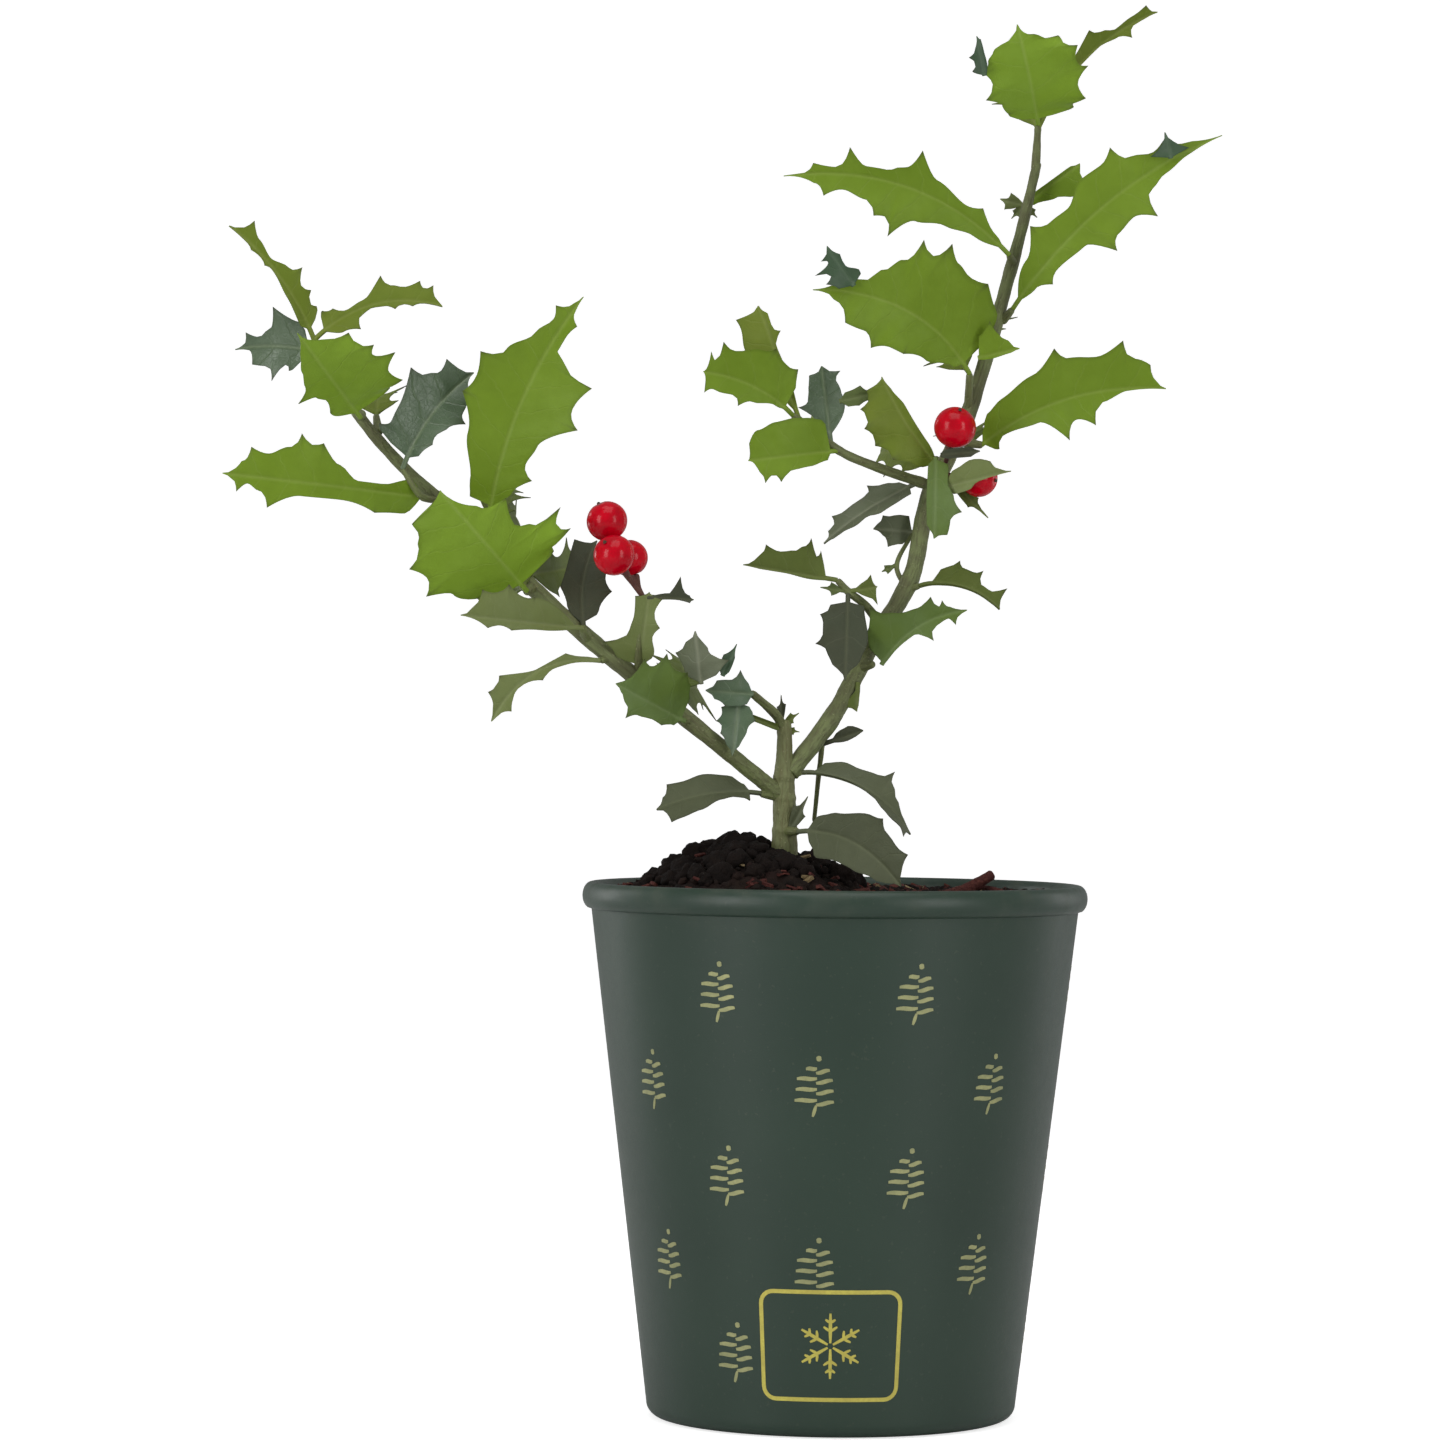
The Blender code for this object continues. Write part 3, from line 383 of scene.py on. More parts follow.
@dataclass(frozen=True)
class PlasticFinish:
    """Satin moulded plastic with a fine grain, faint flow marks and scuffs near its rim."""

    name: str
    body: Colour
    light: Colour
    dust: Colour
    rim_height: float
    roughness: float = 0.40

    def build(self, effects: Effects) -> bpy.types.Material:
        """Return the material of the pot."""
        material, graph, shader = start_material(self.name)
        place = graph.add("ShaderNodeTexCoord").outputs["Object"]
        flow = graph.add("ShaderNodeMapping", {"Vector": place, "Scale": (1.0, 1.0, 0.12)}).outputs[0]
        marks = graph.spread(graph.noise(flow, 70.0, 4.0), 0.35, 0.7)
        blotch = place_group(graph, effects.mottle, scale=28.0, low=0.36, high=0.68).outputs[0]
        grain = place_group(graph, effects.grain, scale=3200.0, share=0.7).outputs[0]
        speck = graph.spread(graph.noise(place, 900.0, 2.0), 0.66, 0.74)
        high = graph.add("ShaderNodeSeparateXYZ", {0: place}).outputs[2]
        near_rim = graph.spread(high, self.rim_height - 12 * MM, self.rim_height, 0.0, 1.0)
        smudge = graph.math("MULTIPLY", near_rim, graph.spread(graph.noise(place, 160.0, 5.0), 0.5, 0.75))
        colour = graph.wash(self.body, self.light, blotch, 0.45)
        colour = graph.wash(colour, self.light, marks, 0.18)
        colour = graph.wash(colour, self.dust, smudge, 0.28)
        colour = graph.wash(colour, self.dust, speck, 0.16)
        rough = graph.spread(grain, 0.25, 0.75, self.roughness - 0.05, self.roughness + 0.07)
        rough = graph.math("MULTIPLY_ADD", smudge, 0.18, rough)
        height = graph.math("MULTIPLY_ADD", marks, 0.35, grain)
        normal = graph.bump(height, 0.06 * MM, 0.45)
        fit(graph, shader, base_color=colour, roughness=rough, normal=normal, ior=1.48)
        return material


@dataclass(frozen=True)
class GoldPrintFinish:
    """Matt gold print with a dry, broken edge to its colour."""

    name: str
    gold: Colour
    thin: Colour
    roughness: float = 0.42

    def build(self, effects: Effects) -> bpy.types.Material:
        """Return the material of the print."""
        material, graph, shader = start_material(self.name)
        worn = place_group(graph, effects.mottle, scale=1400.0, low=0.40, high=0.66).outputs[0]
        wide = place_group(graph, effects.mottle, scale=260.0, low=0.35, high=0.65).outputs[0]
        colour = graph.wash(self.gold, self.thin, wide, 0.55)
        colour = graph.wash(colour, self.thin, worn, 0.35)
        rough = graph.spread(worn, 0.0, 1.0, self.roughness - 0.08, self.roughness + 0.12)
        fit(graph, shader, base_color=colour, roughness=rough, metallic=0.35)
        return material


@dataclass(frozen=True)
class SoilFinish:
    """Moist compost or a bit of bark in it: a dark ground with lighter and redder crumbs."""

    name: str
    ground: Colour
    crumb: Colour
    warm: Colour
    scale: float = 700.0
    roughness: float = 0.86

    def build(self, effects: Effects) -> bpy.types.Material:
        """Return the material of this earth."""
        material, graph, shader = start_material(self.name)
        crumbs = place_group(graph, effects.mottle, scale=self.scale, low=0.46, high=0.62).outputs[0]
        wide = place_group(graph, effects.mottle, scale=self.scale / 6, low=0.42, high=0.62).outputs[0]
        grain = place_group(graph, effects.grain, scale=2200.0, share=0.6).outputs[0]
        colour = graph.wash(self.ground, self.warm, wide, 0.7)
        colour = graph.wash(colour, self.crumb, crumbs, 0.5)
        height = graph.math("MULTIPLY_ADD", crumbs, 0.6, grain)
        rough = graph.spread(crumbs, 0.0, 1.0, self.roughness, self.roughness + 0.1)
        normal = graph.bump(height, 0.5 * MM, 0.8)
        fit(graph, shader, base_color=colour, roughness=rough, normal=normal)
        fit(graph, shader, specular_ior_level=0.15)
        return material


@dataclass(frozen=True)
class BerryFinish:
    """Glossy red skin, a little darker and duller in soft blotches."""

    name: str
    skin: Colour
    deep: Colour

    def build(self, effects: Effects) -> bpy.types.Material:
        """Return the material of the berries."""
        material, graph, shader = start_material(self.name)
        blotch = place_group(graph, effects.mottle, scale=240.0, low=0.35, high=0.7).outputs[0]
        grain = place_group(graph, effects.grain, scale=1900.0, share=0.5).outputs[0]
        colour = graph.wash(self.skin, self.deep, blotch, 0.5)
        rough = graph.spread(blotch, 0.0, 1.0, 0.16, 0.24)
        normal = graph.bump(grain, 0.05 * MM, 0.25)
        fit(graph, shader, base_color=colour, roughness=rough, normal=normal)
        fit(graph, shader, coat_weight=0.12, coat_roughness=0.08, specular_ior_level=0.15)
        return material


@dataclass(frozen=True)
class PlainFinish:
    """A plain studio surface, which glows softly to the camera and lights nothing."""

    name: str
    colour: Colour
    glow: float
    roughness: float = 0.9

    def build(self, effects: Effects) -> bpy.types.Material:
        """Return the material of the studio's floor."""
        material, graph, shader = start_material(self.name)
        blotch = place_group(graph, effects.mottle, scale=3.0, low=0.3, high=0.7).outputs[0]
        dull = tuple(part * 0.985 for part in self.colour)
        seen = graph.add("ShaderNodeLightPath").outputs["Is Camera Ray"]
        fit(graph, shader, base_color=graph.tint(blotch, self.colour, dull), roughness=self.roughness)
        fit(graph, shader, emission_color=(1.0, 1.0, 1.0, 1.0))
        fit(graph, shader, emission_strength=graph.spread(seen, 0.0, 1.0, 0.0, self.glow))
        return material


class Palette:
    """Every material, each built once from its finish."""

    def __init__(self, effects: Effects) -> None:
        """Take the shared effects."""
        self.effects = effects
        self.made: dict[str, bpy.types.Material] = {}

    def get(self, finish: object) -> bpy.types.Material:
        """Return a finish's material, which is built the first time it is asked for."""
        if finish.name not in self.made:
            self.made[finish.name] = finish.build(self.effects)
        return self.made[finish.name]


# Shapes


def add_piece(name: str, shape: bmesh.types.BMesh, materials: list,
              nodes: tuple[str, ...] = (), sharp: float = 50.0) -> bpy.types.Object:
    """Turn a bmesh into a finished piece of the plant, and free the bmesh.

    Args:
        name: The piece's name.
        shape: Its shape, in metres in the solids' frame.
        materials: Its materials, in the order of its faces' numbers.
        nodes: The solids that it stands for.
        sharp: The angle past which an edge stays sharp.

    Returns:
        The new object.
    """
    bmesh.ops.recalc_face_normals(shape, faces=shape.faces)
    mesh = bpy.data.meshes.new(name)
    shape.to_mesh(mesh)
    shape.free()
    mesh.shade_smooth()
    mesh.set_sharp_from_angle(angle=math.radians(sharp))
    for material in materials:
        mesh.materials.append(material)
    piece = bpy.data.objects.new(name, mesh)
    bpy.context.scene.collection.objects.link(piece)
    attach(piece, ROOT_BODY)
    if nodes:
        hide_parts(*nodes)
    LOG.info("%s: %d faces", name, len(mesh.polygons))
    return piece


class Heap:
    """One shape that gathers many small ones, each of which is made apart."""

    def __init__(self) -> None:
        """Start empty."""
        self.shape = bmesh.new()

    def add(self, part: bmesh.types.BMesh) -> None:
        """Add a small shape, and free it."""
        bmesh.ops.recalc_face_normals(part, faces=part.faces)
        mesh = bpy.data.meshes.new("part")
        part.to_mesh(mesh)
        part.free()
        self.shape.from_mesh(mesh)
        bpy.data.meshes.remove(mesh)


def spin_section(section: list[tuple[float, float]], steps: int) -> bmesh.types.BMesh:
    """Return the round shape that a half section of radii and heights makes when it spins."""
    shape = bmesh.new()
    corners = [shape.verts.new((radius, 0.0, height)) for radius, height in section]
    edges = [shape.edges.new(pair) for pair in zip(corners, corners[1:])]
    bmesh.ops.spin(
        shape, geom=corners + edges, cent=(0, 0, 0), axis=(0, 0, 1), dvec=(0, 0, 0),
        angle=math.tau, steps=steps, use_merge=True, use_duplicate=False,
    )
    bmesh.ops.remove_doubles(shape, verts=shape.verts, dist=SEAM)
    return shape


def point_out(shape: bmesh.types.BMesh, corners: list, place: Vector, out: Vector) -> None:
    """Turn corners that stand round Z to a direction, and move them to a place in millimetres."""
    turn = out.to_track_quat("Z", "Y").to_matrix().to_4x4()
    bmesh.ops.transform(shape, matrix=Matrix.Translation(place * MM) @ turn, verts=corners)


def smooth_route(points: Points, per_span: int) -> list[Vector]:
    """Return places in metres on a smooth curve through points in millimetres.

    Args:
        points: The points that the curve goes through.
        per_span: How many places each span between two points gives.

    Returns:
        The places, the last point included.
    """
    knots = [Vector(point) * MM for point in points]
    ends = [knots[0] * 2 - knots[1]] + knots + [knots[-1] * 2 - knots[-2]]
    route = []
    for span in range(len(knots) - 1):
        p0, p1, p2, p3 = ends[span : span + 4]
        for step in range(per_span):
            t = step / per_span
            route.append(
                0.5 * (2 * p1 + (p2 - p0) * t + (2 * p0 - 5 * p1 + 4 * p2 - p3) * t**2
                       + (3 * p1 - p0 - 3 * p2 + p3) * t**3)
            )
    route.append(knots[-1])
    return route


def place_on(route: list[Vector], share: float) -> Vector:
    """Return the place at a share of a route."""
    place = share * (len(route) - 1)
    index = min(int(place), len(route) - 2)
    return route[index].lerp(route[index + 1], place - index)


def grid_of(shape: bmesh.types.BMesh, columns: int,
            rows: int) -> list[tuple[bmesh.types.BMVert, int, int]]:
    """Add a flat grid to a shape, and return its corners with their column and row."""
    made = bmesh.ops.create_grid(shape, x_segments=columns, y_segments=rows, size=0.5)
    corners = []
    for corner in made["verts"]:
        column = round((corner.co.x + 0.5) * columns)
        corners.append((corner, column, round((corner.co.y + 0.5) * rows)))
    return corners


@dataclass(frozen=True)
class Stem:
    """A round stem along a smooth route, with closed, rounded ends and an uneven skin.

    route is in millimetres, radii are spread evenly along it, step is the length between two
    rings and relief how uneven the skin is, as a share of the radius. swells are places on
    the route, as shares, where the stem is thicker.
    """

    route: Points
    radii: tuple[float, ...]
    sides: int = 12
    step: float = 1.0
    relief: float = 0.06
    swells: tuple[float, ...] = ()

    SWELL_SPREAD = 0.022
    SWELL_RISE = 0.09
    END_STEP = 0.3
    END_SHARES = (0.30, 0.80)
    COARSE_RELIEF = 260.0
    FINE_RELIEF = 900.0
    ROUTE_STEPS = 8

    def radius(self, share: float) -> float:
        """Return the radius in metres at a share of the route."""
        place = share * (len(self.radii) - 1)
        index = min(int(place), len(self.radii) - 2)
        between = self.radii[index] + (place - index) * (self.radii[index + 1] - self.radii[index])
        swell = 0.0
        for spot in self.swells:
            swell = max(swell, math.exp(-(((share - spot) / self.SWELL_SPREAD) ** 2)))
        return between * MM * (1 + self.SWELL_RISE * swell)

    def grow(self, shape: bmesh.types.BMesh, material: int = 0) -> None:
        """Add the stem to a shape, with faces of one material's number."""
        spine = smooth_route(self.route, self.ROUTE_STEPS)
        length = sum((b - a).length for a, b in zip(spine, spine[1:])) / MM
        steps = max(4, round(length / self.step))
        inner = [number / steps for number in range(1, steps)]
        shares = [0.0, self.END_STEP / steps, *inner, 1 - self.END_STEP / steps, 1.0]
        tip, next_to_tip = self.END_SHARES
        caps = {0: tip, 1: next_to_tip, len(shares) - 2: next_to_tip, len(shares) - 1: tip}
        map_layer = shape.loops.layers.uv.get("blade") or shape.loops.layers.uv.new("blade")
        corners = grid_of(shape, self.sides, len(shares) - 1)
        faces = {face for corner, column, row in corners for face in corner.link_faces}
        grid = {corner: (column, row) for corner, column, row in corners}
        for face in faces:
            face.material_index = material
            for loop in face.loops:
                column, row = grid[loop.vert]
                around = column / self.sides * math.tau * self.radii[0]
                loop[map_layer].uv = (around, shares[row] * length)
        frames = self._frames(spine, shares)
        for corner, column, row in corners:
            centre, side, other = frames[row]
            angle = math.tau * (column % self.sides) / self.sides
            out = side * math.cos(angle) + other * math.sin(angle)
            radius = self.radius(shares[row]) * caps.get(row, 1.0)
            coarse = noise.noise((centre + out * radius) * self.COARSE_RELIEF)
            wobble = coarse + 0.5 * noise.noise(centre * self.FINE_RELIEF)
            corner.co = centre + out * radius * (1 + self.relief * wobble)
        bmesh.ops.remove_doubles(shape, verts=[corner for corner, _, _ in corners], dist=WELD)
        left = [corner for corner in grid if corner.is_valid]
        ends = dict.fromkeys(edge for corner in left for edge in corner.link_edges if edge.is_boundary)
        filled = bmesh.ops.holes_fill(shape, edges=list(ends), sides=0)
        for face in filled["faces"]:
            face.material_index = material

    @staticmethod
    def _frames(spine: list[Vector], shares: list[float]) -> list[tuple[Vector, Vector, Vector]]:
        """Return the middle and the two cross directions of each ring, without twist."""
        frames = []
        side = (spine[1] - spine[0]).orthogonal()
        for share in shares:
            ahead = place_on(spine, min(1.0, share + SLOPE_STEP))
            behind = place_on(spine, max(0.0, share - SLOPE_STEP))
            heading = (ahead - behind).normalized()
            side = (side - heading * side.dot(heading)).normalized()
            frames.append((place_on(spine, share), side, heading.cross(side)))
        return frames


def spiny(width: float) -> Spines:
    """Return the spines of one margin of an ordinary leaf whose half is width wide."""
    return ((0.22, 0.72 * width), (0.50, width), (0.80, 0.62 * width))


@dataclass(frozen=True)
class Leaf:
    """One leaf on a shoot.

    at is the place on the shoot's stem, 0 to 1. heading is the way it points in the front
    view, anticlockwise from +X. toward tips it to the viewer, roll turns it about its own
    length. reach is the straight distance to its tip. left and right are the spines of its
    margins, each with its place along the blade and its distance from the midrib, and the
    dips are places that the margins pass between spines. arch bends the leaf away from its
    upper face, bow is how far the midrib runs to its right, fold lifts both halves, stalk is
    its stalk's length, scallop is how deep the margin runs in between spines without dips,
    and wave is how far the spines stand up and down. A leaf with a start grows from that
    place, in millimetres, instead of from the stem. tone is the colour of its upper face.
    """

    at: float
    heading: float
    toward: float
    reach: float
    left: Spines
    right: Spines
    left_dips: Spines = ()
    right_dips: Spines = ()
    roll: float = 0.0
    arch: float = 26.0
    bow: float = 0.0
    fold: float = 12.0
    stalk: float = 3.0
    scallop: float = 0.38
    wave: float = 0.10
    start: tuple[float, float, float] | None = None
    tone: Tone = Tone.OLIVE

    @property
    def directions(self) -> tuple[Vector, Vector, Vector]:
        """The leaf's own directions: along it, to its right, and out of its upper face."""
        heading = math.radians(self.heading)
        toward = math.radians(self.toward)
        along = Vector((
            math.cos(heading) * math.cos(toward),
            -math.sin(toward),
            math.sin(heading) * math.cos(toward),
        ))
        viewer = Vector((0.0, -1.0, 0.0))
        face = (viewer - along * viewer.dot(along)).normalized()
        face = Matrix.Rotation(math.radians(self.roll), 3, along) @ face
        return along, along.cross(face), face

    def midrib(self, share: float) -> Vector:
        """Return a place on the midrib, as distances along, to the right and out, in metres."""
        arch = math.radians(self.arch)
        scale = self.reach * MM / (2 * math.sin(arch / 2))
        along = scale * (math.sin(arch / 2) + math.sin(arch * (share - 0.5)))
        out = scale * (math.cos(arch * (share - 0.5)) - math.cos(arch / 2))
        return Vector((along, self.bow * MM * 4 * share * (1 - share), out))

    @property
    def spine_rows(self) -> list[float]:
        """The places of the spines of both margins, where those close together share one."""
        rows: list[float] = []
        for place in sorted(place for place, width in self.left + self.right):
            if rows and place - rows[-1] < Blade.MERGE_ROWS:
                rows[-1] = (rows[-1] + place) / 2
            else:
                rows.append(place)
        return rows


@dataclass(frozen=True)
class Mark:
    """A place on a margin, its distance from the midrib, and whether a spine stands there."""

    place: float
    width: float
    spine: bool = False


class Blade:
    """The fine shape of one leaf, from its stalk to its tip."""

    MERGE_ROWS = 0.05
    STALK_HALF_WIDTH = 0.6
    TIP_HALF_WIDTH = 0.12
    SCALLOP_POWER = 2.2
    USUAL_SPACING = 0.25
    DEEPEST = 1.5
    NEEDLE = 0.9
    NEEDLE_FALL = 0.32
    HORN_POWER = 1.9
    LEAN = 0.35
    ROW_STEP = 1.15
    NEEDLE_ROWS = (-0.95, -0.42, -0.16, 0.0, 0.16, 0.42, 0.95)
    COLUMNS = (0.0, 0.05, 0.15, 0.32, 0.52, 0.72, 0.87, 0.955, 1.0)
    THICKNESS = 0.34
    KEEL = 0.42
    STALK_RADIUS = 0.55
    PUCKER = 0.16
    PUCKER_WIDTH = 8.0
    LONGEST_STALK = 0.3
    STALK_ROWS = (0.35, 0.75)
    STALK_FADE = (0.6, 1.7)
    NEEDLE_WIDTH = 6.0
    NEEDLE_REACH = 0.35
    SPINE_POWER = 8
    ROW_ROOM = 0.45
    SOFT_FOLD = 0.7
    GROOVE = 0.16
    GROOVE_HALF_WIDTH = 0.5
    KEEL_HALF_WIDTH = 0.55
    KEEL_FADE = 0.75
    MARGIN_THINNING = 0.45

    def __init__(self, leaf: Leaf, root: Vector) -> None:
        """Take a leaf, and the place on its stem where its stalk is rooted."""
        self.leaf = leaf
        self.root = root
        self.stalk = min(leaf.stalk / leaf.reach, self.LONGEST_STALK)
        self.length = leaf.reach * (1 - self.stalk)
        self.sides = (self._marks(leaf.left, leaf.left_dips), self._marks(leaf.right, leaf.right_dips))
        self.rises = (self._rises(leaf.left, -1.0), self._rises(leaf.right, 1.0))

    def _marks(self, spines: Spines, dips: Spines) -> list[Mark]:
        """Return a margin's marks from the stalk to the tip."""
        marks = [Mark(place, width, True) for place, width in spines]
        marks += [Mark(place, width) for place, width in dips]
        sharp_tip = bool(spines) and not dips
        marks += [Mark(0.0, self.STALK_HALF_WIDTH), Mark(1.0, self.TIP_HALF_WIDTH, sharp_tip)]
        return sorted(marks, key=lambda mark: mark.place)

    def _rises(self, spines: Spines, way: float) -> Spines:
        """Return how far each spine of a margin stands up, as a share of its width."""
        rows = self.leaf.spine_rows
        marks = [(0.0, 0.0)]
        for place, _ in sorted(spines):
            nearest = min(range(len(rows)), key=lambda index: abs(rows[index] - place))
            marks.append((place, way * self.leaf.wave * (1 if nearest % 2 else -1)))
        return (*marks, (1.0, 0.0))

    def margin(self, side: int, share: float) -> tuple[float, float]:
        """Return a margin's distance from the midrib, and that of the line from spine to spine.

        Args:
            side: 0 for the left margin, 1 for the right one.
            share: The place along the blade, 0 to 1.

        Returns:
            Both distances in millimetres.
        """
        marks = self.sides[side]
        index = max(number for number, mark in enumerate(marks[:-1]) if mark.place <= share)
        first, last = marks[index : index + 2]
        part = (share - first.place) / (last.place - first.place)
        step = last.width - first.width
        line = first.width + part * step
        if index == 0:
            line = first.width + step * math.sin(math.pi / 2 * part)
            width = line
        elif first.spine and last.spine:
            spacing = min(self.DEEPEST, (last.place - first.place) / self.USUAL_SPACING)
            hollow = 1 - abs(2 * part - 1) ** self.SCALLOP_POWER
            width = line * (1 - self.leaf.scallop * spacing * hollow)
        elif last.spine:
            width = first.width + step * part**self.HORN_POWER
        elif first.spine or last.place == 1:
            width = last.width - step * (1 - part) ** self.HORN_POWER
        else:
            width = first.width + step * ease(0.0, 1.0, part)
        if not (self.leaf.left_dips or self.leaf.right_dips):
            nearest = min(abs(mark.place - share) for mark in marks[1:-1]) * self.length
            cut = self.NEEDLE * (1 - math.exp(-nearest / self.NEEDLE_FALL))
            width -= cut * min(1.0, width / self.NEEDLE_WIDTH)
        return max(width, self.TIP_HALF_WIDTH), max(line, width)

    def rise(self, side: int, share: float) -> float:
        """Return how far a margin stands up at a place, as a share of its width."""
        marks = self.rises[side]
        index = max(number for number, mark in enumerate(marks[:-1]) if mark[0] <= share)
        (start, low), (end, high) = marks[index : index + 2]
        return low + (high - low) * ease(start, end, share)

    def rows(self) -> list[float]:
        """Return the places of the blade's rows, closer together at each spine."""
        wanted = {0.0, 1.0}
        for place in {place for place, _ in self.leaf.left + self.leaf.right}:
            wanted |= {place + offset / self.length for offset in self.NEEDLE_ROWS}
        steps = round(self.length / self.ROW_STEP)
        kept = sorted(place for place in wanted if 0 <= place <= 1)
        for step in range(1, steps):
            place = step / steps
            if min(abs(place - other) for other in kept) * self.length > self.ROW_STEP * self.ROW_ROOM:
                kept.append(place)
        return sorted(kept)

    def grow(self, shape: bmesh.types.BMesh, upper: int, under: int) -> None:
        """Add the leaf to a shape.

        Args:
            shape: The shape that it joins.
            upper: The number of its upper face's material.
            under: The number of its underside's material.
        """
        shares = [0.0, *(self.stalk * part for part in self.STALK_ROWS)]
        shares += [self.stalk + (1 - self.stalk) * place for place in self.rows()]
        half = len(self.COLUMNS) - 1
        frames = [self._row(share) for share in shares]
        number_layer = shape.verts.layers.int.get("number") or shape.verts.layers.int.new("number")
        edge_layer = shape.verts.layers.float.get("edge") or shape.verts.layers.float.new("edge")
        spine_layer = shape.verts.layers.float.get("spine") or shape.verts.layers.float.new("spine")
        map_layer = shape.loops.layers.uv.get("blade") or shape.loops.layers.uv.new("blade")
        corners = grid_of(shape, 2 * half, len(shares) - 1)
        drops = []
        flats = []
        for corner, column, row in corners:
            way = 1 if column > half else -1
            across = self.COLUMNS[abs(column - half)]
            place, drop, flat = self._corner(frames[row], 0 if way < 0 else 1, way, across)
            corner[number_layer] = len(drops)
            corner[edge_layer] = across
            corner[spine_layer] = frames[row]["needles"][0 if way < 0 else 1] * across**self.SPINE_POWER
            corner.co = place
            drops.append(drop)
            flats.append(flat)
        faces = list(dict.fromkeys(face for corner, _, _ in corners for face in corner.link_faces))
        for face in faces:
            face.material_index = upper
        made = bmesh.ops.extrude_face_region(shape, geom=faces, use_keep_orig=True)["geom"]
        lower = [item for item in made if isinstance(item, bmesh.types.BMVert)]
        for corner in lower:
            corner.co += drops[corner[number_layer]]
        extruded = {item for item in made if isinstance(item, bmesh.types.BMFace)}
        for face in extruded:
            face.material_index = under
        sides = {face for corner in lower for face in corner.link_faces}
        for face in set(faces) | extruded | sides:
            if face.is_valid:
                for loop in face.loops:
                    loop[map_layer].uv = flats[loop.vert[number_layer]]

    def _row(self, share: float) -> dict:
        """Return what all corners of one row share: its frame, widths, rises and stalk share."""
        leaf = self.leaf
        along, right, face = leaf.directions
        here = leaf.midrib(share)
        slope = (leaf.midrib(share + SLOPE_STEP) - here).normalized()
        heading = along * slope.x + right * slope.y + face * slope.z
        across = heading.cross(face).normalized()
        blade = max(0.0, (share - self.stalk) / (1 - self.stalk))
        near = [
            min(abs(mark.place - blade) for mark in self.sides[side] if mark.spine or mark.place == 1)
            * self.length
            for side in (0, 1)
        ]
        return {
            "share": share,
            "blade": blade,
            "place": self.root + along * here.x + right * here.y + face * here.z,
            "heading": heading,
            "across": across,
            "out": across.cross(heading),
            "margins": [self.margin(side, blade) for side in (0, 1)],
            "rises": [self.rise(side, blade) for side in (0, 1)],
            "needles": [math.exp(-((distance / self.NEEDLE_REACH) ** 2)) for distance in near],
            "stalk": 1 - ease(*(self.stalk * part for part in self.STALK_FADE), share),
        }

    def _corner(self, row: dict, side: int, way: int, part: float) -> tuple[Vector, Vector, tuple]:
        """Return a corner's place, the way down to the underside, and its place on the map.

        Args:
            row: What the row's corners share.
            side: 0 for the left half, 1 for the right one.
            way: -1 for the left half, 1 for the right one.
            part: The share of the way from the midrib to the margin.
        """
        leaf = self.leaf
        width, line = row["margins"][side]
        off = width * part
        lift = math.radians(leaf.fold)
        back = -self.LEAN * (line - width) * part * part
        raised = math.sin(lift) * (math.hypot(off, self.SOFT_FOLD) - self.SOFT_FOLD)
        raised += row["rises"][side] * width * part * part
        along = row["blade"] * self.length
        phase = (along - VEIN_SLOPE * off) / VEIN_SPACING
        window = math.sin(math.pi * min(1.0, part * 1.05)) * min(1.0, width / self.PUCKER_WIDTH)
        raised -= self.PUCKER * math.cos(math.tau * phase) * window
        stalk = row["stalk"]
        round_off = math.sqrt(max(0.0, 1 - part * part))
        groove = -self.GROOVE * math.exp(-((off / self.GROOVE_HALF_WIDTH) ** 2))
        groove *= ease(0.0, 0.15, row["blade"])
        up = stalk * self.STALK_RADIUS * round_off + (1 - stalk) * groove
        keel = self.KEEL * (1 - self.KEEL_FADE * row["blade"])
        keel *= math.exp(-((off / self.KEEL_HALF_WIDTH) ** 2))
        thin = self.THICKNESS * (1 - self.MARGIN_THINNING * part**6)
        down = stalk * (self.STALK_RADIUS * 2 * round_off + 0.1) + (1 - stalk) * (thin + keel)
        place = row["place"] + row["across"] * way * off * math.cos(lift) * MM
        place += row["heading"] * back * MM + row["out"] * (raised + up) * MM
        return place, row["out"] * -down * MM, (along + self.stalk * leaf.reach, way * off)


@dataclass(frozen=True)
class Berry:
    """One berry: its middle in millimetres, and its radius as a share of the usual one."""

    place: tuple[float, float, float]
    size: float = 1.0


@dataclass(frozen=True)
class Shoot:
    """A mass of foliage: a stem from inside its limb, leaves, berries and leaves behind."""

    name: str
    stem: Points
    radius: float
    leaves: tuple[Leaf, ...]
    berries: tuple[Berry, ...] = ()
    behind: int = 1


@dataclass(frozen=True)
class Limb:
    """A tapering limb: a name, its route in millimetres, and its radii from foot to tip."""

    name: str
    route: Points
    radii: tuple[float, ...]


MAIN_STEM = Limb(
    "main_stem",
    (
        (-12.0, 0, 131.5), (-12.1, 0, 138.5), (-12.2, 0, 144.5),
        (-12.3, 0, 151.0), (-12.3, 0, 158.0), (-12.4, 0, 165.5),
    ),
    (3.3, 2.9, 2.75, 2.5, 1.95, 1.6),
)
LEFT_BOUGH = Limb(
    "left_bough",
    (
        (-12.5, 0, 147), (-20, -3, 153), (-33, -8, 163.4), (-62, -18, 187),
        (-89, -23, 212), (-101.5, -25, 223), (-111.8, -26, 234.6), (-120, -27, 247),
    ),
    (2.1, 1.9, 1.9, 1.9, 1.6, 1.4, 1.25, 1.1),
)
RIGHT_BOUGH = Limb(
    "right_bough",
    (
        (-11.2, 0.3, 152.6), (-0.4, 4.6, 167), (8, 9, 183), (18, 13, 200),
        (22, 15, 219), (32, 17, 241), (43, 20, 280), (48, 22, 301),
    ),
    (2.2, 2.1, 2.1, 2.1, 2.0, 1.8, 1.4, 1.0),
)

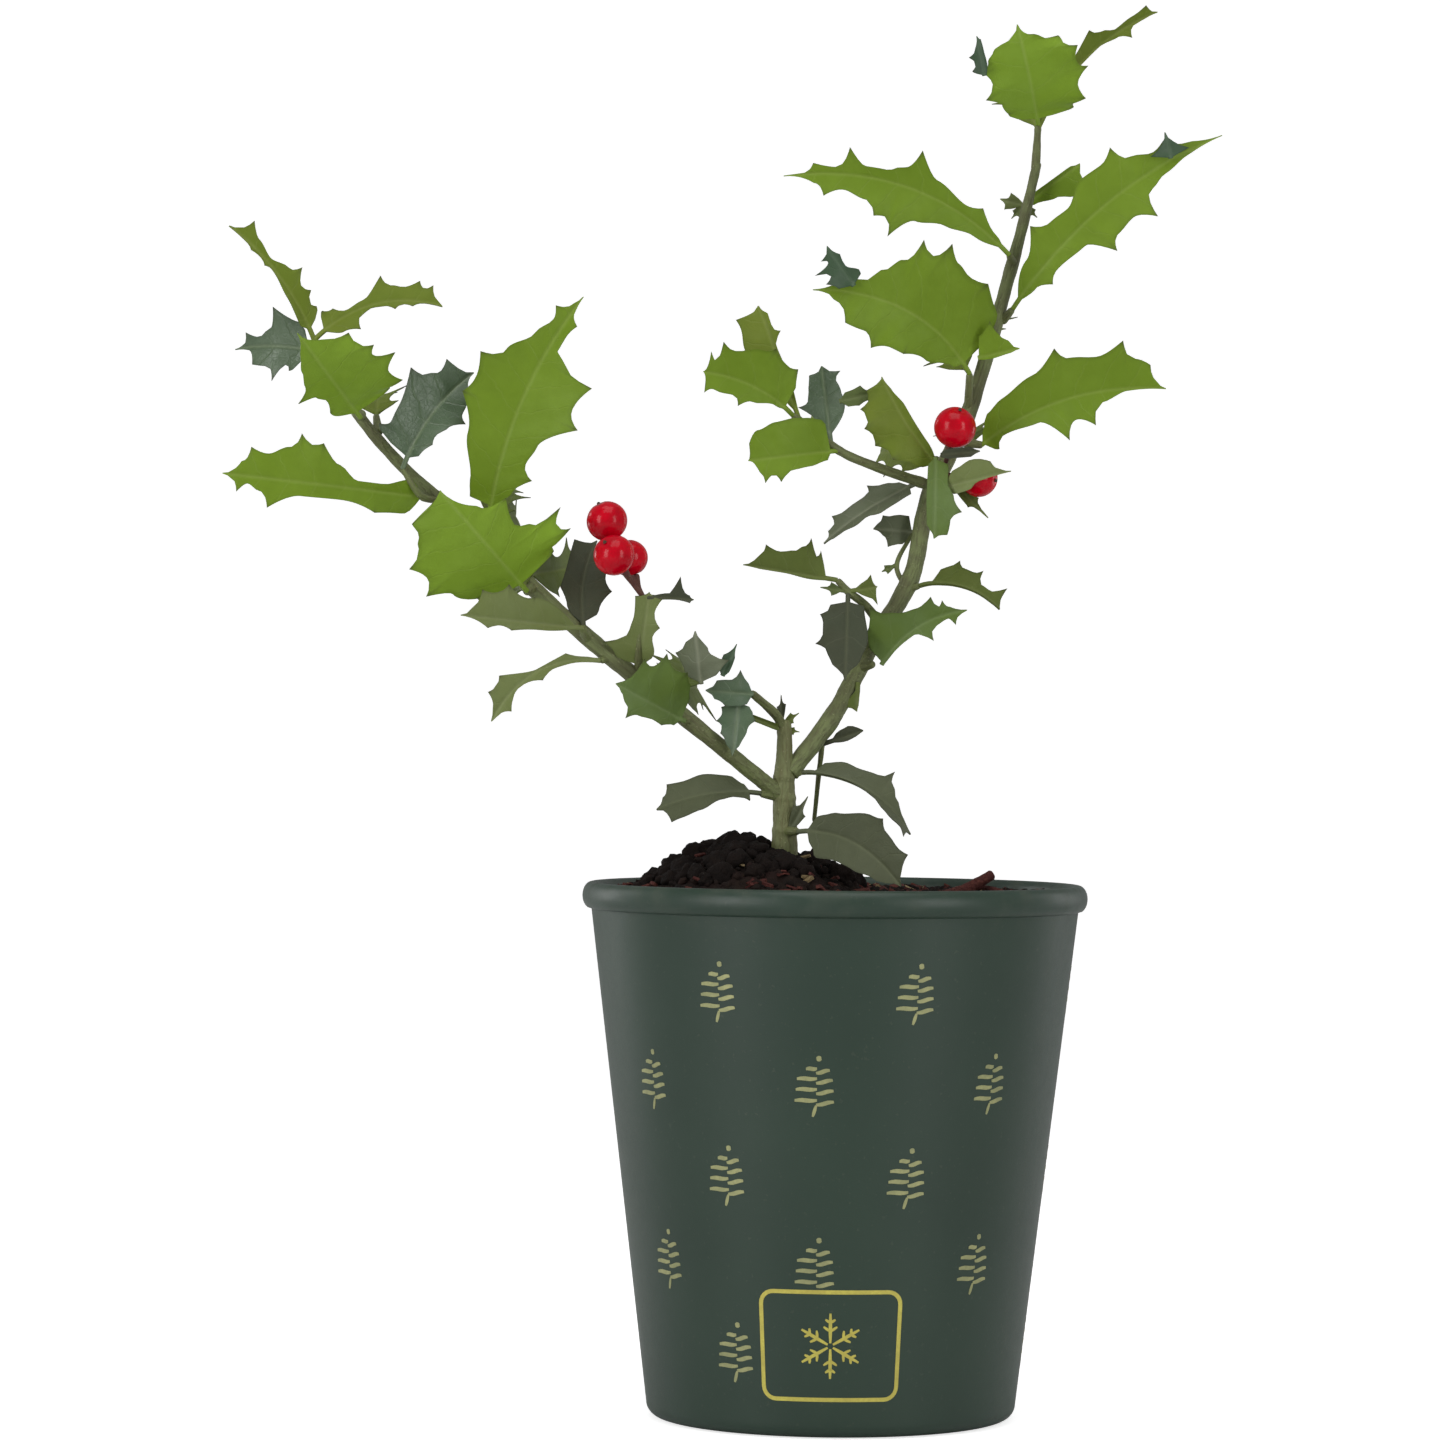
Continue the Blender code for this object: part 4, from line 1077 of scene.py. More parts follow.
LEFT_SHOOTS = (
    Shoot(
        "left_tip", ((-119.5, -27, 246), (-123, -28, 253)), 1.1,
        (
            Leaf(
                1.0, 127, 5, 33, ((0.59, 1.2), (0.75, 1.1)),
                ((0.12, 3.9), (0.24, 4.4), (0.41, 5.9), (0.88, 4.6)),
                left_dips=((0.05, 1.9), (0.29, 1.4), (0.54, 0.3), (0.66, 0.5), (0.82, 0.3)),
                right_dips=((0.17, 2.7), (0.30, 3.0), (0.46, 3.2), (0.61, 1.2), (0.76, 2.2), (0.93, 1.4)),
                roll=20, bow=1.8, tone=Tone.MEADOW,
            ),
            Leaf(
                1.0, 15, 4, 31, ((0.07, 4.0), (0.14, 3.4), (0.53, 6.9), (0.80, 5.2), (0.90, 4.2)),
                ((0.27, 5.6), (0.63, 2.4), (0.78, 1.7)),
                left_dips=((0.23, 1.2), (0.38, 1.9), (0.60, 4.0), (0.69, 3.4), (0.85, 3.2), (0.95, 1.4)),
                right_dips=((0.12, 3.8), (0.32, 1.9), (0.42, 0.9), (0.54, 1.2), (0.70, 1.1), (0.88, 0.2)),
                roll=-25, arch=20, bow=-4.5, tone=Tone.MEADOW,
            ),
            Leaf(
                0.6, 177, -25, 23, ((0.17, 5.7), (0.42, 8.4), (0.70, 4.4)), ((0.41, 9.2), (0.79, 3.5)),
                left_dips=((0.50, 4.9), (0.80, 0.7)),
                right_dips=((0.12, 6.2), (0.50, 3.6), (0.62, 2.2), (0.86, 0.8)),
                bow=1, tone=Tone.GREY,
            ),
        ),
        behind=0,
    ),
    Shoot(
        "left_crown", ((-112, -26, 236), (-112, -30, 235)), 1.1,
        (
            Leaf(
                1.0, 126, 51, 34, ((0.23, 5.0), (0.55, 9.6)),
                ((0.04, 9.9), (0.16, 13.5), (0.47, 15.9), (0.62, 12.9), (0.77, 9.8)),
                left_dips=((0.35, 3.9), (0.46, 5.4), (0.61, 6.0), (0.72, 4.6), (0.86, 2.4)),
                right_dips=((0.10, 9.6), (0.31, 12.0), (0.54, 11.3), (0.69, 9.6), (0.82, 5.6)),
                tone=Tone.SUNNY,
            ),
        ),
    ),
    Shoot(
        "left_outer", ((-94, -24, 216), (-98, -30, 217), (-102, -31, 223)), 0.8,
        (
            Leaf(
                1.0, 55, -14, 29, ((0.13, 9.3), (0.60, 10.6), (0.89, 6.6)), ((0.19, 4.2), (0.56, 7.9)),
                left_dips=((0.19, 7.1), (0.30, 7.4), (0.66, 6.8), (0.76, 5.2)),
                right_dips=((0.03, 2.4), (0.27, 3.7), (0.42, 5.2), (0.64, 5.6), (0.80, 4.2)),
                bow=-2, wave=0.16, tone=Tone.GREY,
            ),
            Leaf(
                0.4, 174, 9, 47, ((0.23, 5.2), (0.76, 7.0), (0.92, 4.0)),
                ((0.52, 9.7), (0.63, 11.5), (0.87, 7.0)),
                left_dips=((0.09, 4.6), (0.40, 3.1), (0.60, 3.3), (0.81, 3.2), (0.87, 1.8), (0.96, 0.8)),
                right_dips=((0.06, 3.7), (0.20, 1.9), (0.33, 1.9), (0.43, 5.1), (0.57, 9.0), (0.68, 8.0),
                            (0.79, 5.8), (0.91, 3.4)),
                stalk=0.8, tone=Tone.BRIGHT,
            ),
        ),
        behind=0,
    ),
    Shoot(
        "left_upper", ((-84, -22, 207), (-82, -27, 212)), 1.2,
        (
            Leaf(
                1.0, 67, 6, 56, ((0.42, 13.7), (0.59, 13.5), (0.90, 4.0)),
                ((0.15, 8.4), (0.46, 15.0), (0.67, 13.7), (0.88, 3.0)),
                left_dips=((0.02, 5.2), (0.09, 5.9), (0.28, 9.3), (0.50, 12.0), (0.64, 8.4), (0.76, 4.5),
                           (0.85, 2.6), (0.95, 1.0)),
                right_dips=((0.03, 3.0), (0.08, 4.6), (0.21, 5.9), (0.31, 7.3), (0.54, 11.8), (0.70, 6.5),
                            (0.735, 2.3), (0.82, 2.2), (0.93, 0.6)),
                bow=-3.5, fold=8, tone=Tone.BRIGHT,
            ),
        ),
        behind=2,
    ),
    Shoot(
        "left_front", ((-72, -20, 196), (-73, -26, 195)), 1.3,
        (
            Leaf(
                1.0, 131, 32, 35, ((0.16, 10.0), (0.46, 18.6), (0.71, 17.4), (0.97, 10.0)),
                ((0.04, 11.0), (0.18, 17.4), (0.30, 18.8), (0.64, 10.5)),
                left_dips=((0.33, 13.6), (0.57, 15.6), (0.79, 12.6), (0.89, 10.2)),
                right_dips=((0.10, 11.2), (0.23, 15.2), (0.34, 11.1), (0.42, 8.0), (0.73, 4.4)),
                fold=8, tone=Tone.SUNNY,
            ),
        ),
        behind=2,
    ),
    Shoot(
        "left_middle", ((-59, -17, 184), (-60, -24, 186.5)), 1.2,
        (
            Leaf(
                1.0, 175, 36, 34, ((0.58, 2.4), (0.78, 2.4)), ((0.42, 6.0), (0.65, 8.4), (0.86, 6.5)),
                left_dips=((0.33, 1.6), (0.68, 1.5)), right_dips=((0.91, 2.8),), scallop=0.2, tone=Tone.PALE,
            ),
            Leaf(
                0.5, 84, -30, 26, ((0.33, 5.3), (0.87, 4.8)), ((0.34, 7.2), (0.75, 4.4)),
                left_dips=((0.16, 3.6), (0.60, 4.4)), right_dips=((0.08, 4.0), (0.54, 5.2)), bow=-2,
                tone=Tone.DARK,
            ),
        ),
        behind=0,
    ),
    Shoot(
        "left_droop", ((-53, -15, 180), (-56, -18, 179)), 1.0,
        (
            Leaf(
                1.0, 210, 10, 29.5, ((0.46, 2.6), (0.86, 3.0)), ((0.20, 1.9), (0.71, 4.8), (0.84, 4.4)),
                left_dips=((0.10, 0.6), (0.30, 1.0), (0.68, 0.7), (0.95, 0.8)),
                right_dips=((0.08, 0.8), (0.46, 0.5), (0.78, 3.6), (0.93, 1.2)), bow=5, stalk=1.5,
                tone=Tone.PALE,
            ),
        ),
        behind=0,
    ),
    Shoot(
        "left_berries", ((-47, -13, 175.5), (-47, -18, 184), (-46, -22, 194)), 0.9,
        (
            Leaf(
                0.1, 82, 27, 20.2, ((0.33, 9.2), (0.94, 3.2)), ((0.58, 3.8), (0.94, 3.4)),
                left_dips=((0.05, 4.9), (0.18, 6.4), (0.48, 3.4), (0.70, 2.8)),
                right_dips=((0.21, 3.3), (0.43, 2.3), (0.75, 2.0)), stalk=1.5, tone=Tone.PALE,
            ),
            Leaf(
                1.0, -3, 4, 12, ((0.62, 5.4),), ((0.90, 0.9),), left_dips=((0.36, 1.2), (0.88, 1.0)),
                right_dips=((0.5, 0.3),), tone=Tone.DARK,
            ),
        ),
        (Berry((-54.5, -25, 211.5)), Berry((-52.7, -31, 203.4)), Berry((-49.3, -22, 203.0), 0.92)),
        behind=0,
    ),
    Shoot(
        "left_inner", ((-35, -8.5, 165.5), (-36, -12, 165)), 1.2,
        (
            Leaf(
                1.0, 152, 30, 21, ((0.24, 3.6), (0.70, 6.2)), ((0.34, 10.6), (0.64, 12.2), (0.85, 8.6)),
                left_dips=((0.06, 2.2), (0.38, 3.4), (0.58, 4.2), (0.78, 3.0), (0.90, 1.2)),
                right_dips=((0.07, 5.2), (0.20, 8.4), (0.46, 9.6), (0.75, 7.6), (0.92, 2.6)), stalk=1.5,
                tone=Tone.FERN,
            ),
            Leaf(
                0.0, 97, 5, 12.6, ((0.62, 5.4),), ((0.36, 7.4),),
                left_dips=((0.06, 2.2), (0.20, 3.6), (0.80, 2.6)),
                right_dips=((0.06, 3.4), (0.18, 5.0), (0.62, 2.6), (0.82, 1.2)), stalk=0.6,
                start=(-32.2, -12.5, 173.8), tone=Tone.ASH,
            ),
            Leaf(
                0.0, 66, 5, 8.2, ((0.55, 1.9),), ((0.60, 1.0),), left_dips=((0.15, 1.8),),
                right_dips=((0.2, 1.2),), stalk=0.3, start=(-27.2, -12, 175.8), tone=Tone.SHADE,
            ),
        ),
    ),
)

MIDDLE_SHOOTS = (
    Shoot(
        "low_left", ((-13, 0, 147), (-18, -3, 148)), 1.1,
        (
            Leaf(
                1.0, 189, 12, 25.5, ((0.05, 3.6), (0.88, 6.8)), ((0.82, 4.8),),
                left_dips=((0.10, 2.4), (0.20, 1.9), (0.34, 2.7), (0.57, 5.4), (0.76, 6.4)),
                right_dips=((0.05, 2.3), (0.18, 4.4), (0.45, 5.2), (0.66, 4.4), (0.90, 2.2)),
                roll=38, arch=50, tone=Tone.SAGE,
            ),
        ),
    ),
    Shoot(
        "stem_top", ((-12.4, 0, 163), (-14.6, -2, 166.8), (-20.4, -7.6, 171.9)), 1.15,
        (
            Leaf(
                0.0, 92, 0, 6, ((0.5, 1.2),), ((0.6, 1.2),), stalk=0.4, start=(-13.0, 0, 165.4),
                tone=Tone.DARK,
            ),
            Leaf(
                0.0, 36, 10, 4.4, ((0.6, 1.3),), ((0.4, 1.3),), stalk=0.4, start=(-12.4, 0, 164.6),
                tone=Tone.OLIVE,
            ),
            Leaf(
                0.0, 176, 10, 11.4, ((0.55, 3.6),), ((0.30, 5.6), (0.78, 2.6)),
                left_dips=((0.10, 2.6), (0.30, 3.2), (0.80, 2.0)),
                right_dips=((0.08, 2.4), (0.50, 3.0)), stalk=0.3, start=(-20.0, -8, 171.5), tone=Tone.TEAL,
            ),
            Leaf(
                0.0, 263, 8, 12.8, ((0.30, 4.6),), ((0.12, 4.2), (0.40, 5.0), (0.62, 3.6)),
                left_dips=((0.06, 2.8), (0.16, 3.6), (0.50, 2.8), (0.80, 1.6)),
                right_dips=((0.05, 2.6), (0.24, 3.8), (0.50, 3.4), (0.80, 2.0)), stalk=0.3,
                start=(-23.2, -8, 169.5), tone=Tone.TEAL,
            ),
            Leaf(
                0.0, 160, 35, 10.5, (), (), left_dips=((0.1, 0.8), (0.9, 0.7)),
                right_dips=((0.1, 0.8), (0.9, 0.8)), stalk=0.3, start=(-13.2, -0.6, 163.4), tone=Tone.OLIVE,
            ),
            Leaf(0.02, -8, 5, 3.8, ((0.5, 1.0),), ((0.5, 1.0),), tone=Tone.OLIVE),
        ),
        behind=0,
    ),
    Shoot(
        "low_right", ((-12, 0, 152), (-8, 0, 153)), 0.9,
        (
            Leaf(
                1.0, -29, 8, 30, ((0.57, 8.6),), ((0.93, 5.6),),
                left_dips=((0.03, 3.6), (0.20, 5.0), (0.32, 4.4), (0.51, 5.2), (0.63, 5.0), (0.71, 3.0),
                           (0.84, 1.0)),
                right_dips=((0.20, 0.3), (0.32, 0.3), (0.46, 1.2), (0.56, 1.8), (0.66, 3.7), (0.76, 4.5),
                            (0.87, 3.4)),
                roll=-52, arch=78, tone=Tone.SAGE,
            ),
        ),
        behind=0,
    ),
    Shoot(
        "low_front", ((-12, -1, 139), (-9, -6, 139)), 1.1,
        (
            Leaf(
                1.0, -27, 36, 33, ((0.60, 8.7), (0.88, 6.4)), (),
                left_dips=((0.11, 3.9), (0.25, 5.1), (0.54, 7.9), (0.68, 6.4), (0.80, 5.6), (0.93, 3.0)),
                right_dips=((0.08, 3.9), (0.18, 6.8), (0.44, 6.0), (0.62, 5.7), (0.82, 4.0), (0.93, 2.4)),
                bow=-4, wave=0.04, tone=Tone.SAGE,
            ),
            Leaf(0.3, 62, 5, 9.5, ((0.62, 2.2),), ((0.5, 1.9),), stalk=0.6, tone=Tone.SAGE),
        ),
        behind=0,
    ),
    Shoot(
        "hanging_twig", ((-3, 4, 165), (-3.4, 5.5, 158), (-4, 6.5, 152), (-5, 6.5, 141)), 0.65,
        (
            Leaf(
                0.25, 19, 4, 10.5, (), (), left_dips=((0.30, 1.9), (0.62, 2.3), (0.85, 1.2)),
                right_dips=((0.40, 1.2), (0.80, 0.8)), wave=0.0, tone=Tone.DARK,
            ),
        ),
        behind=0,
    ),
)

RIGHT_SHOOTS = (
    Shoot(
        "right_foot", ((5.5, 7, 178), (9, 4, 179)), 1.1,
        (
            Leaf(
                0.0, 33, 10, 24.4, ((0.30, 10.9), (0.72, 5.3), (0.80, 3.6)), ((0.58, 5.0), (0.87, 3.2)),
                left_dips=((0.06, 5.0), (0.15, 7.4), (0.38, 6.6), (0.46, 4.7), (0.60, 4.0), (0.76, 2.3),
                           (0.85, 1.6)),
                right_dips=((0.10, 0.8), (0.42, 1.2), (0.66, 1.9), (0.81, 1.2), (0.94, 0.9)),
                bow=-3, stalk=0.6, start=(10.8, 4.4, 178.9), tone=Tone.FERN,
            ),
            Leaf(
                0.0, 268, 5, 7, (), ((0.80, 3.6),), left_dips=((0.3, 0.5), (0.7, 0.4)),
                right_dips=((0.3, 1.6), (0.62, 2.6)), start=(5.2, 5.0, 174.5), tone=Tone.OLIVE,
            ),
        ),
        behind=0,
    ),
    Shoot(
        "right_lower", ((11, 11, 188), (7, 8, 193), (3, 6, 196), (0, 5, 199)), 1.0,
        (
            Leaf(
                1.0, 171.5, 8, 23, (), ((0.11, 6.4), (0.27, 9.0), (0.77, 5.8)),
                left_dips=((0.20, 0.9), (0.50, 0.4), (0.80, 0.4)),
                right_dips=((0.03, 2.6), (0.15, 4.8), (0.33, 6.8), (0.42, 5.4), (0.60, 4.6), (0.82, 3.2),
                            (0.89, 1.4)),
                arch=20, tone=Tone.OLIVE,
            ),
            Leaf(
                0.7, 268, 22, 23, (), ((0.19, 6.7), (0.60, 7.6)),
                left_dips=((0.05, 4.0), (0.50, 5.2), (0.80, 3.4)),
                right_dips=((0.03, 4.2), (0.11, 4.4), (0.30, 5.9), (0.48, 5.9), (0.68, 4.6), (0.84, 3.2)),
                arch=16, tone=Tone.DARK,
            ),
            Leaf(
                0.7, 10, 10, 7.2, ((0.78, 3.2),), ((0.86, 4.6),), left_dips=((0.3, 1.4),),
                right_dips=((0.3, 1.6), (0.62, 2.6)), tone=Tone.OLIVE,
            ),
            Leaf(0.7, 172, 5, 6.8, ((0.4, 1.7),), ((0.5, 1.7),), tone=Tone.DIM),
        ),
        behind=0,
    ),
    Shoot(
        "right_low", ((17, 12.5, 197), (20, 10, 198)), 0.9,
        (
            Leaf(
                1.0, -16, 8, 20.2, ((0.28, 7.2), (0.58, 7.9), (0.93, 6.0)), (),
                left_dips=((0.06, 4.6), (0.19, 5.4), (0.35, 5.3), (0.48, 5.6), (0.64, 2.9), (0.77, 2.4),
                           (0.97, 1.4)),
                right_dips=((0.14, 0.9), (0.36, 0.3), (0.70, 0.3), (0.84, 1.2)),
                roll=-52, arch=76, tone=Tone.OLIVE,
            ),
        ),
        behind=0,
    ),
    Shoot(
        "right_mid", ((17, 12.7, 197), (14.5, 14, 203), (18.5, 18, 211)), 0.6,
        (
            Leaf(
                1.0, 176, 14, 10, ((0.62, 4.2),), ((0.80, 3.5),),
                left_dips=((0.05, 1.9), (0.25, 3.2), (0.74, 1.6)),
                right_dips=((0.08, 3.9), (0.40, 4.0), (0.66, 3.4), (0.90, 1.4)), stalk=0.5,
                tone=Tone.ASH,
            ),
            Leaf(0.5, 205, 0, 4, ((0.6, 1.2),), ((0.6, 1.2),), tone=Tone.DIM),
        ),
        behind=0,
    ),
    Shoot(
        "right_twig", ((23, 15, 222), (10, 8, 226), (0, 4, 230), (-11, 0, 238)), 1.1,
        (
            Leaf(
                0.08, 213, 10, 28, (), ((0.31, 6.9), (0.77, 4.2), (0.89, 2.0)),
                left_dips=((0.05, 3.4), (0.27, 4.1), (0.41, 4.4), (0.53, 2.4), (0.65, 2.9), (0.80, 1.6),
                           (0.90, 1.3)),
                right_dips=((0.05, 2.6), (0.18, 4.5), (0.38, 4.1), (0.50, 3.8), (0.67, 3.3), (0.82, 2.0),
                            (0.94, 0.4)),
                roll=46, tone=Tone.ASH,
            ),
            Leaf(
                0.66, 188, 24, 24, ((0.68, 6.2), (0.85, 6.0)), ((0.97, 4.0),),
                left_dips=((0.07, 2.2), (0.31, 3.2), (0.52, 3.6), (0.75, 4.2), (0.90, 3.2)),
                right_dips=((0.03, 5.5), (0.08, 7.7), (0.30, 8.6), (0.45, 8.9), (0.66, 8.4), (0.86, 7.0)),
                arch=40, wave=0.03, tone=Tone.BRIGHT,
            ),
            Leaf(
                0.72, 97, -18, 20.5, ((0.38, 7.0),), ((0.86, 4.4),),
                left_dips=((0.21, 3.2), (0.48, 4.4), (0.60, 4.0), (0.85, 3.4), (0.91, 1.0)),
                right_dips=((0.38, 4.5), (0.60, 3.9), (0.76, 3.0)), arch=10, tone=Tone.GREY,
            ),
            Leaf(
                1.0, 155.5, 17, 24.6, ((0.53, 6.0), (0.96, 5.0)),
                ((0.13, 9.2), (0.42, 10.4), (0.86, 8.0), (0.95, 5.2)),
                left_dips=((0.10, 1.2), (0.38, 3.6), (0.61, 3.9), (0.77, 4.2), (0.88, 3.8)),
                right_dips=((0.03, 5.0), (0.22, 8.3), (0.33, 8.8), (0.50, 8.8), (0.76, 6.4), (0.90, 3.2)),
                arch=30, bow=2, tone=Tone.BRIGHT,
            ),
            Leaf(
                0.95, 110, -8, 29.8, ((0.93, 6.4),), ((0.70, 3.0),),
                left_dips=((0.30, 3.0), (0.63, 6.9), (0.84, 6.0)),
                right_dips=((0.30, 1.2), (0.59, 0.8), (0.76, 1.4), (0.90, 1.5)), arch=30,
                tone=Tone.MEADOW,
            ),
            Leaf(
                0.0, 14, 0, 9.0, ((0.60, 2.6),), ((0.45, 2.2),), left_dips=((0.15, 1.8),),
                right_dips=((0.15, 1.8), (0.75, 1.4)), stalk=0.5, start=(0.2, 3, 241.6), tone=Tone.DIM,
            ),
        ),
    ),
    Shoot(
        "right_berries", ((23, 15, 224), (25, 7, 225)), 1.2,
        (
            Leaf(
                1.0, 123.5, 12, 27.5, ((0.29, 7.8), (0.47, 9.5), (0.66, 9.8), (0.82, 8.3), (0.95, 5.0)), (),
                left_dips=((0.10, 4.0), (0.37, 7.4), (0.57, 8.6), (0.74, 7.5), (0.89, 5.0)),
                right_dips=((0.21, 1.8), (0.65, 1.9), (0.87, 0.8)), arch=12, bow=-1, tone=Tone.MEADOW,
            ),
            Leaf(
                0.0, 269, 8, 19.6, ((0.67, 6.6), (0.95, 3.2)), (),
                left_dips=((0.08, 3.2), (0.30, 3.0), (0.50, 4.6), (0.78, 3.8)),
                right_dips=((0.08, 1.9), (0.50, 2.1), (0.86, 1.9)), stalk=0.6,
                start=(23.2, 2.4, 228.3), tone=Tone.FERN,
            ),
            Leaf(
                0.0, 13.5, 10, 16.2, ((0.72, 3.4),), (), left_dips=((0.20, 3.6), (0.46, 4.9), (0.86, 0.9)),
                right_dips=((0.10, 2.4), (0.32, 2.2), (0.48, 0.6), (0.70, 0.3)), arch=56, wave=0.02,
                stalk=0.6, start=(25.6, 1.5, 221.4), tone=Tone.PALE,
            ),
            Leaf(1.0, -45, 14, 15.9, ((0.62, 1.8),), ((0.60, 1.8),), tone=Tone.OLIVE),
            Leaf(
                0.0, 6, 5, 9.4, (), (), left_dips=((0.15, 1.3), (0.8, 1.3)),
                right_dips=((0.15, 1.1), (0.8, 1.2)), stalk=0.2, start=(24.4, 1.0, 228.9), tone=Tone.DARK,
            ),
        ),
        (Berry((27.7, 1, 235.5), 1.05), Berry((33.6, 3, 223.6), 0.95)),
        behind=0,
    ),
    Shoot(
        "right_side", ((29, 16, 233), (35, 14, 232)), 1.1,
        (
            Leaf(
                0.95, 17, 12, 46.5, ((0.51, 12.6), (0.80, 11.7), (0.92, 5.6)),
                ((0.05, 3.5), (0.45, 10.0), (0.62, 8.1)),
                left_dips=((0.03, 2.4), (0.10, 5.2), (0.20, 6.4), (0.38, 8.2), (0.56, 9.4), (0.68, 8.4),
                           (0.84, 7.2), (0.95, 2.2)),
                right_dips=((0.10, 1.4), (0.31, 3.0), (0.52, 5.6), (0.67, 2.8), (0.82, 0.6)),
                bow=-4.5, stalk=0.7, tone=Tone.BRIGHT,
            ),
        ),
    ),
    Shoot(
        "right_inner", ((31.5, 17, 240), (31.5, 11, 249)), 1.0,
        (
            Leaf(
                1.0, 154, 20, 45, ((0.37, 9.8), (0.60, 12.0), (0.82, 7.4)),
                ((0.04, 10.5), (0.23, 16.4), (0.45, 19.0), (0.54, 17.2)),
                left_dips=((0.02, 2.8), (0.20, 7.3), (0.47, 10.0), (0.69, 8.4), (0.87, 2.8), (0.93, 0.8)),
                right_dips=((0.10, 14.0), (0.31, 14.8), (0.38, 15.8), (0.49, 14.4), (0.59, 10.8),
                            (0.66, 7.2), (0.74, 3.6), (0.85, 3.0)),
                bow=6, tone=Tone.BRIGHT,
            ),
            Leaf(
                0.0, 125, 5, 11.4, ((0.34, 5.6), (0.62, 6.6), (0.80, 3.4)), ((0.70, 1.5),),
                left_dips=((0.12, 3.6), (0.46, 3.2), (0.72, 2.0)), right_dips=((0.15, 3.4), (0.45, 1.0)),
                arch=14, stalk=0.4, start=(3.2, -4.5, 268.6), tone=Tone.SHADE,
            ),
            Leaf(
                0.0, 13, 5, 10.2, ((0.45, 8.0),), (), left_dips=((0.10, 5.0), (0.75, 3.0)),
                right_dips=((0.3, 1.0), (0.8, 0.6)), stalk=0.3, start=(33.4, 8, 252.6), tone=Tone.BRIGHT,
            ),
        ),
        behind=2,
    ),
    Shoot(
        "right_outer", ((39.5, 19, 262), (42, 16, 265)), 1.0,
        (
            Leaf(
                1.0, 40, 6, 65, ((0.23, 9.0), (0.62, 10.5), (0.79, 5.0)),
                ((0.12, 4.6), (0.40, 10.6), (0.62, 10.2)),
                left_dips=((0.13, 4.3), (0.29, 6.0), (0.37, 5.4), (0.47, 8.6), (0.56, 8.3), (0.66, 5.8),
                           (0.74, 3.8), (0.88, 1.9)),
                right_dips=((0.07, 1.9), (0.17, 3.1), (0.32, 4.2), (0.45, 7.6), (0.54, 6.8), (0.66, 3.8),
                            (0.74, 2.3), (0.86, 0.9)),
                bow=-5, tone=Tone.BRIGHT,
            ),
            Leaf(
                0.0, 104, 5, 6.4, (), (), left_dips=((0.16, 5.0), (0.5, 2.0)),
                right_dips=((0.16, 5.0), (0.5, 2.2)), arch=10, stalk=0.3, start=(79.0, 6.2, 300.6),
                tone=Tone.SHADE,
            ),
        ),
        behind=2,
    ),
    Shoot(
        "right_upper", ((42.5, 20, 276), (41, 16, 278)), 1.0,
        (
            Leaf(
                1.0, 162, 8, 58, ((0.50, 13.2), (0.60, 9.3), (0.84, 5.6)),
                ((0.15, 4.2), (0.47, 9.4), (0.74, 6.6), (0.88, 2.6)),
                left_dips=((0.11, 2.7), (0.25, 4.8), (0.39, 7.2), (0.54, 8.7), (0.65, 5.7), (0.76, 3.9),
                           (0.88, 2.4)),
                right_dips=((0.04, 1.2), (0.22, 2.4), (0.37, 4.2), (0.52, 4.2), (0.58, 2.6), (0.67, 2.5),
                            (0.79, 1.6), (0.92, 0.3)),
                bow=7, tone=Tone.BRIGHT,
            ),
        ),
    ),
    Shoot(
        "right_bud", ((45, 21, 290), (45, 26, 291)), 0.8,
        (
            Leaf(
                1.0, 37, 0, 17, (), (), left_dips=((0.1, 1.0), (0.5, 0.9), (0.85, 0.9)),
                right_dips=((0.1, 1.6), (0.4, 3.4), (0.65, 6.0), (0.88, 5.0)), stalk=0.8, tone=Tone.BRIGHT,
            ),
            Leaf(1.0, 166, 0, 6, ((0.7, 2.4),), ((0.6, 2.2),), stalk=0.5, tone=Tone.PALE),
            Leaf(1.0, 228, -5, 4.5, ((0.6, 1.2),), ((0.6, 1.2),), stalk=0.5, tone=Tone.PALE),
            Leaf(1.0, -42, -5, 4.5, ((0.6, 1.2),), ((0.6, 1.2),), stalk=0.5, tone=Tone.PALE),
        ),
        behind=0,
    ),
    Shoot(
        "right_tip", ((47.5, 22, 299), (48, 21, 310)), 1.0,
        (
            Leaf(
                1.0, 106, 40, 29.5, ((0.18, 7.0), (0.47, 12.0), (0.68, 11.2)),
                ((0.05, 9.3), (0.22, 12.2), (0.48, 14.5), (0.73, 12.8), (0.82, 9.0), (0.89, 3.2)),
                left_dips=((0.34, 8.2), (0.57, 9.4), (0.76, 9.2), (0.84, 7.4), (0.91, 2.4)),
                right_dips=((0.13, 9.0), (0.34, 11.0), (0.54, 11.9), (0.62, 11.8), (0.77, 9.6),
                            (0.85, 4.8), (0.93, 1.0)),
                arch=50, tone=Tone.SUNNY,
            ),
            Leaf(
                0.9, 45, -6, 41.5, ((0.55, 5.2), (0.93, 2.8)), ((0.77, 3.0),),
                left_dips=((0.30, 2.0), (0.61, 2.8), (0.70, 1.0), (0.83, 1.7)),
                right_dips=((0.43, 0.4), (0.56, 0.3), (0.69, 1.1), (0.82, 0.6), (0.90, 0.4)),
                roll=20, arch=20, bow=-5, tone=Tone.MEADOW,
            ),
            Leaf(
                0.0, 102, 5, 9.6, ((0.15, 2.8), (0.50, 3.0)), ((0.90, 0.8),),
                left_dips=((0.32, 1.6), (0.70, 1.0)), right_dips=((0.3, 1.2), (0.6, 1.0)), arch=14,
                stalk=0.3, start=(34.1, 3.0, 319.6), tone=Tone.SHADE,
            ),
        ),
    ),
)

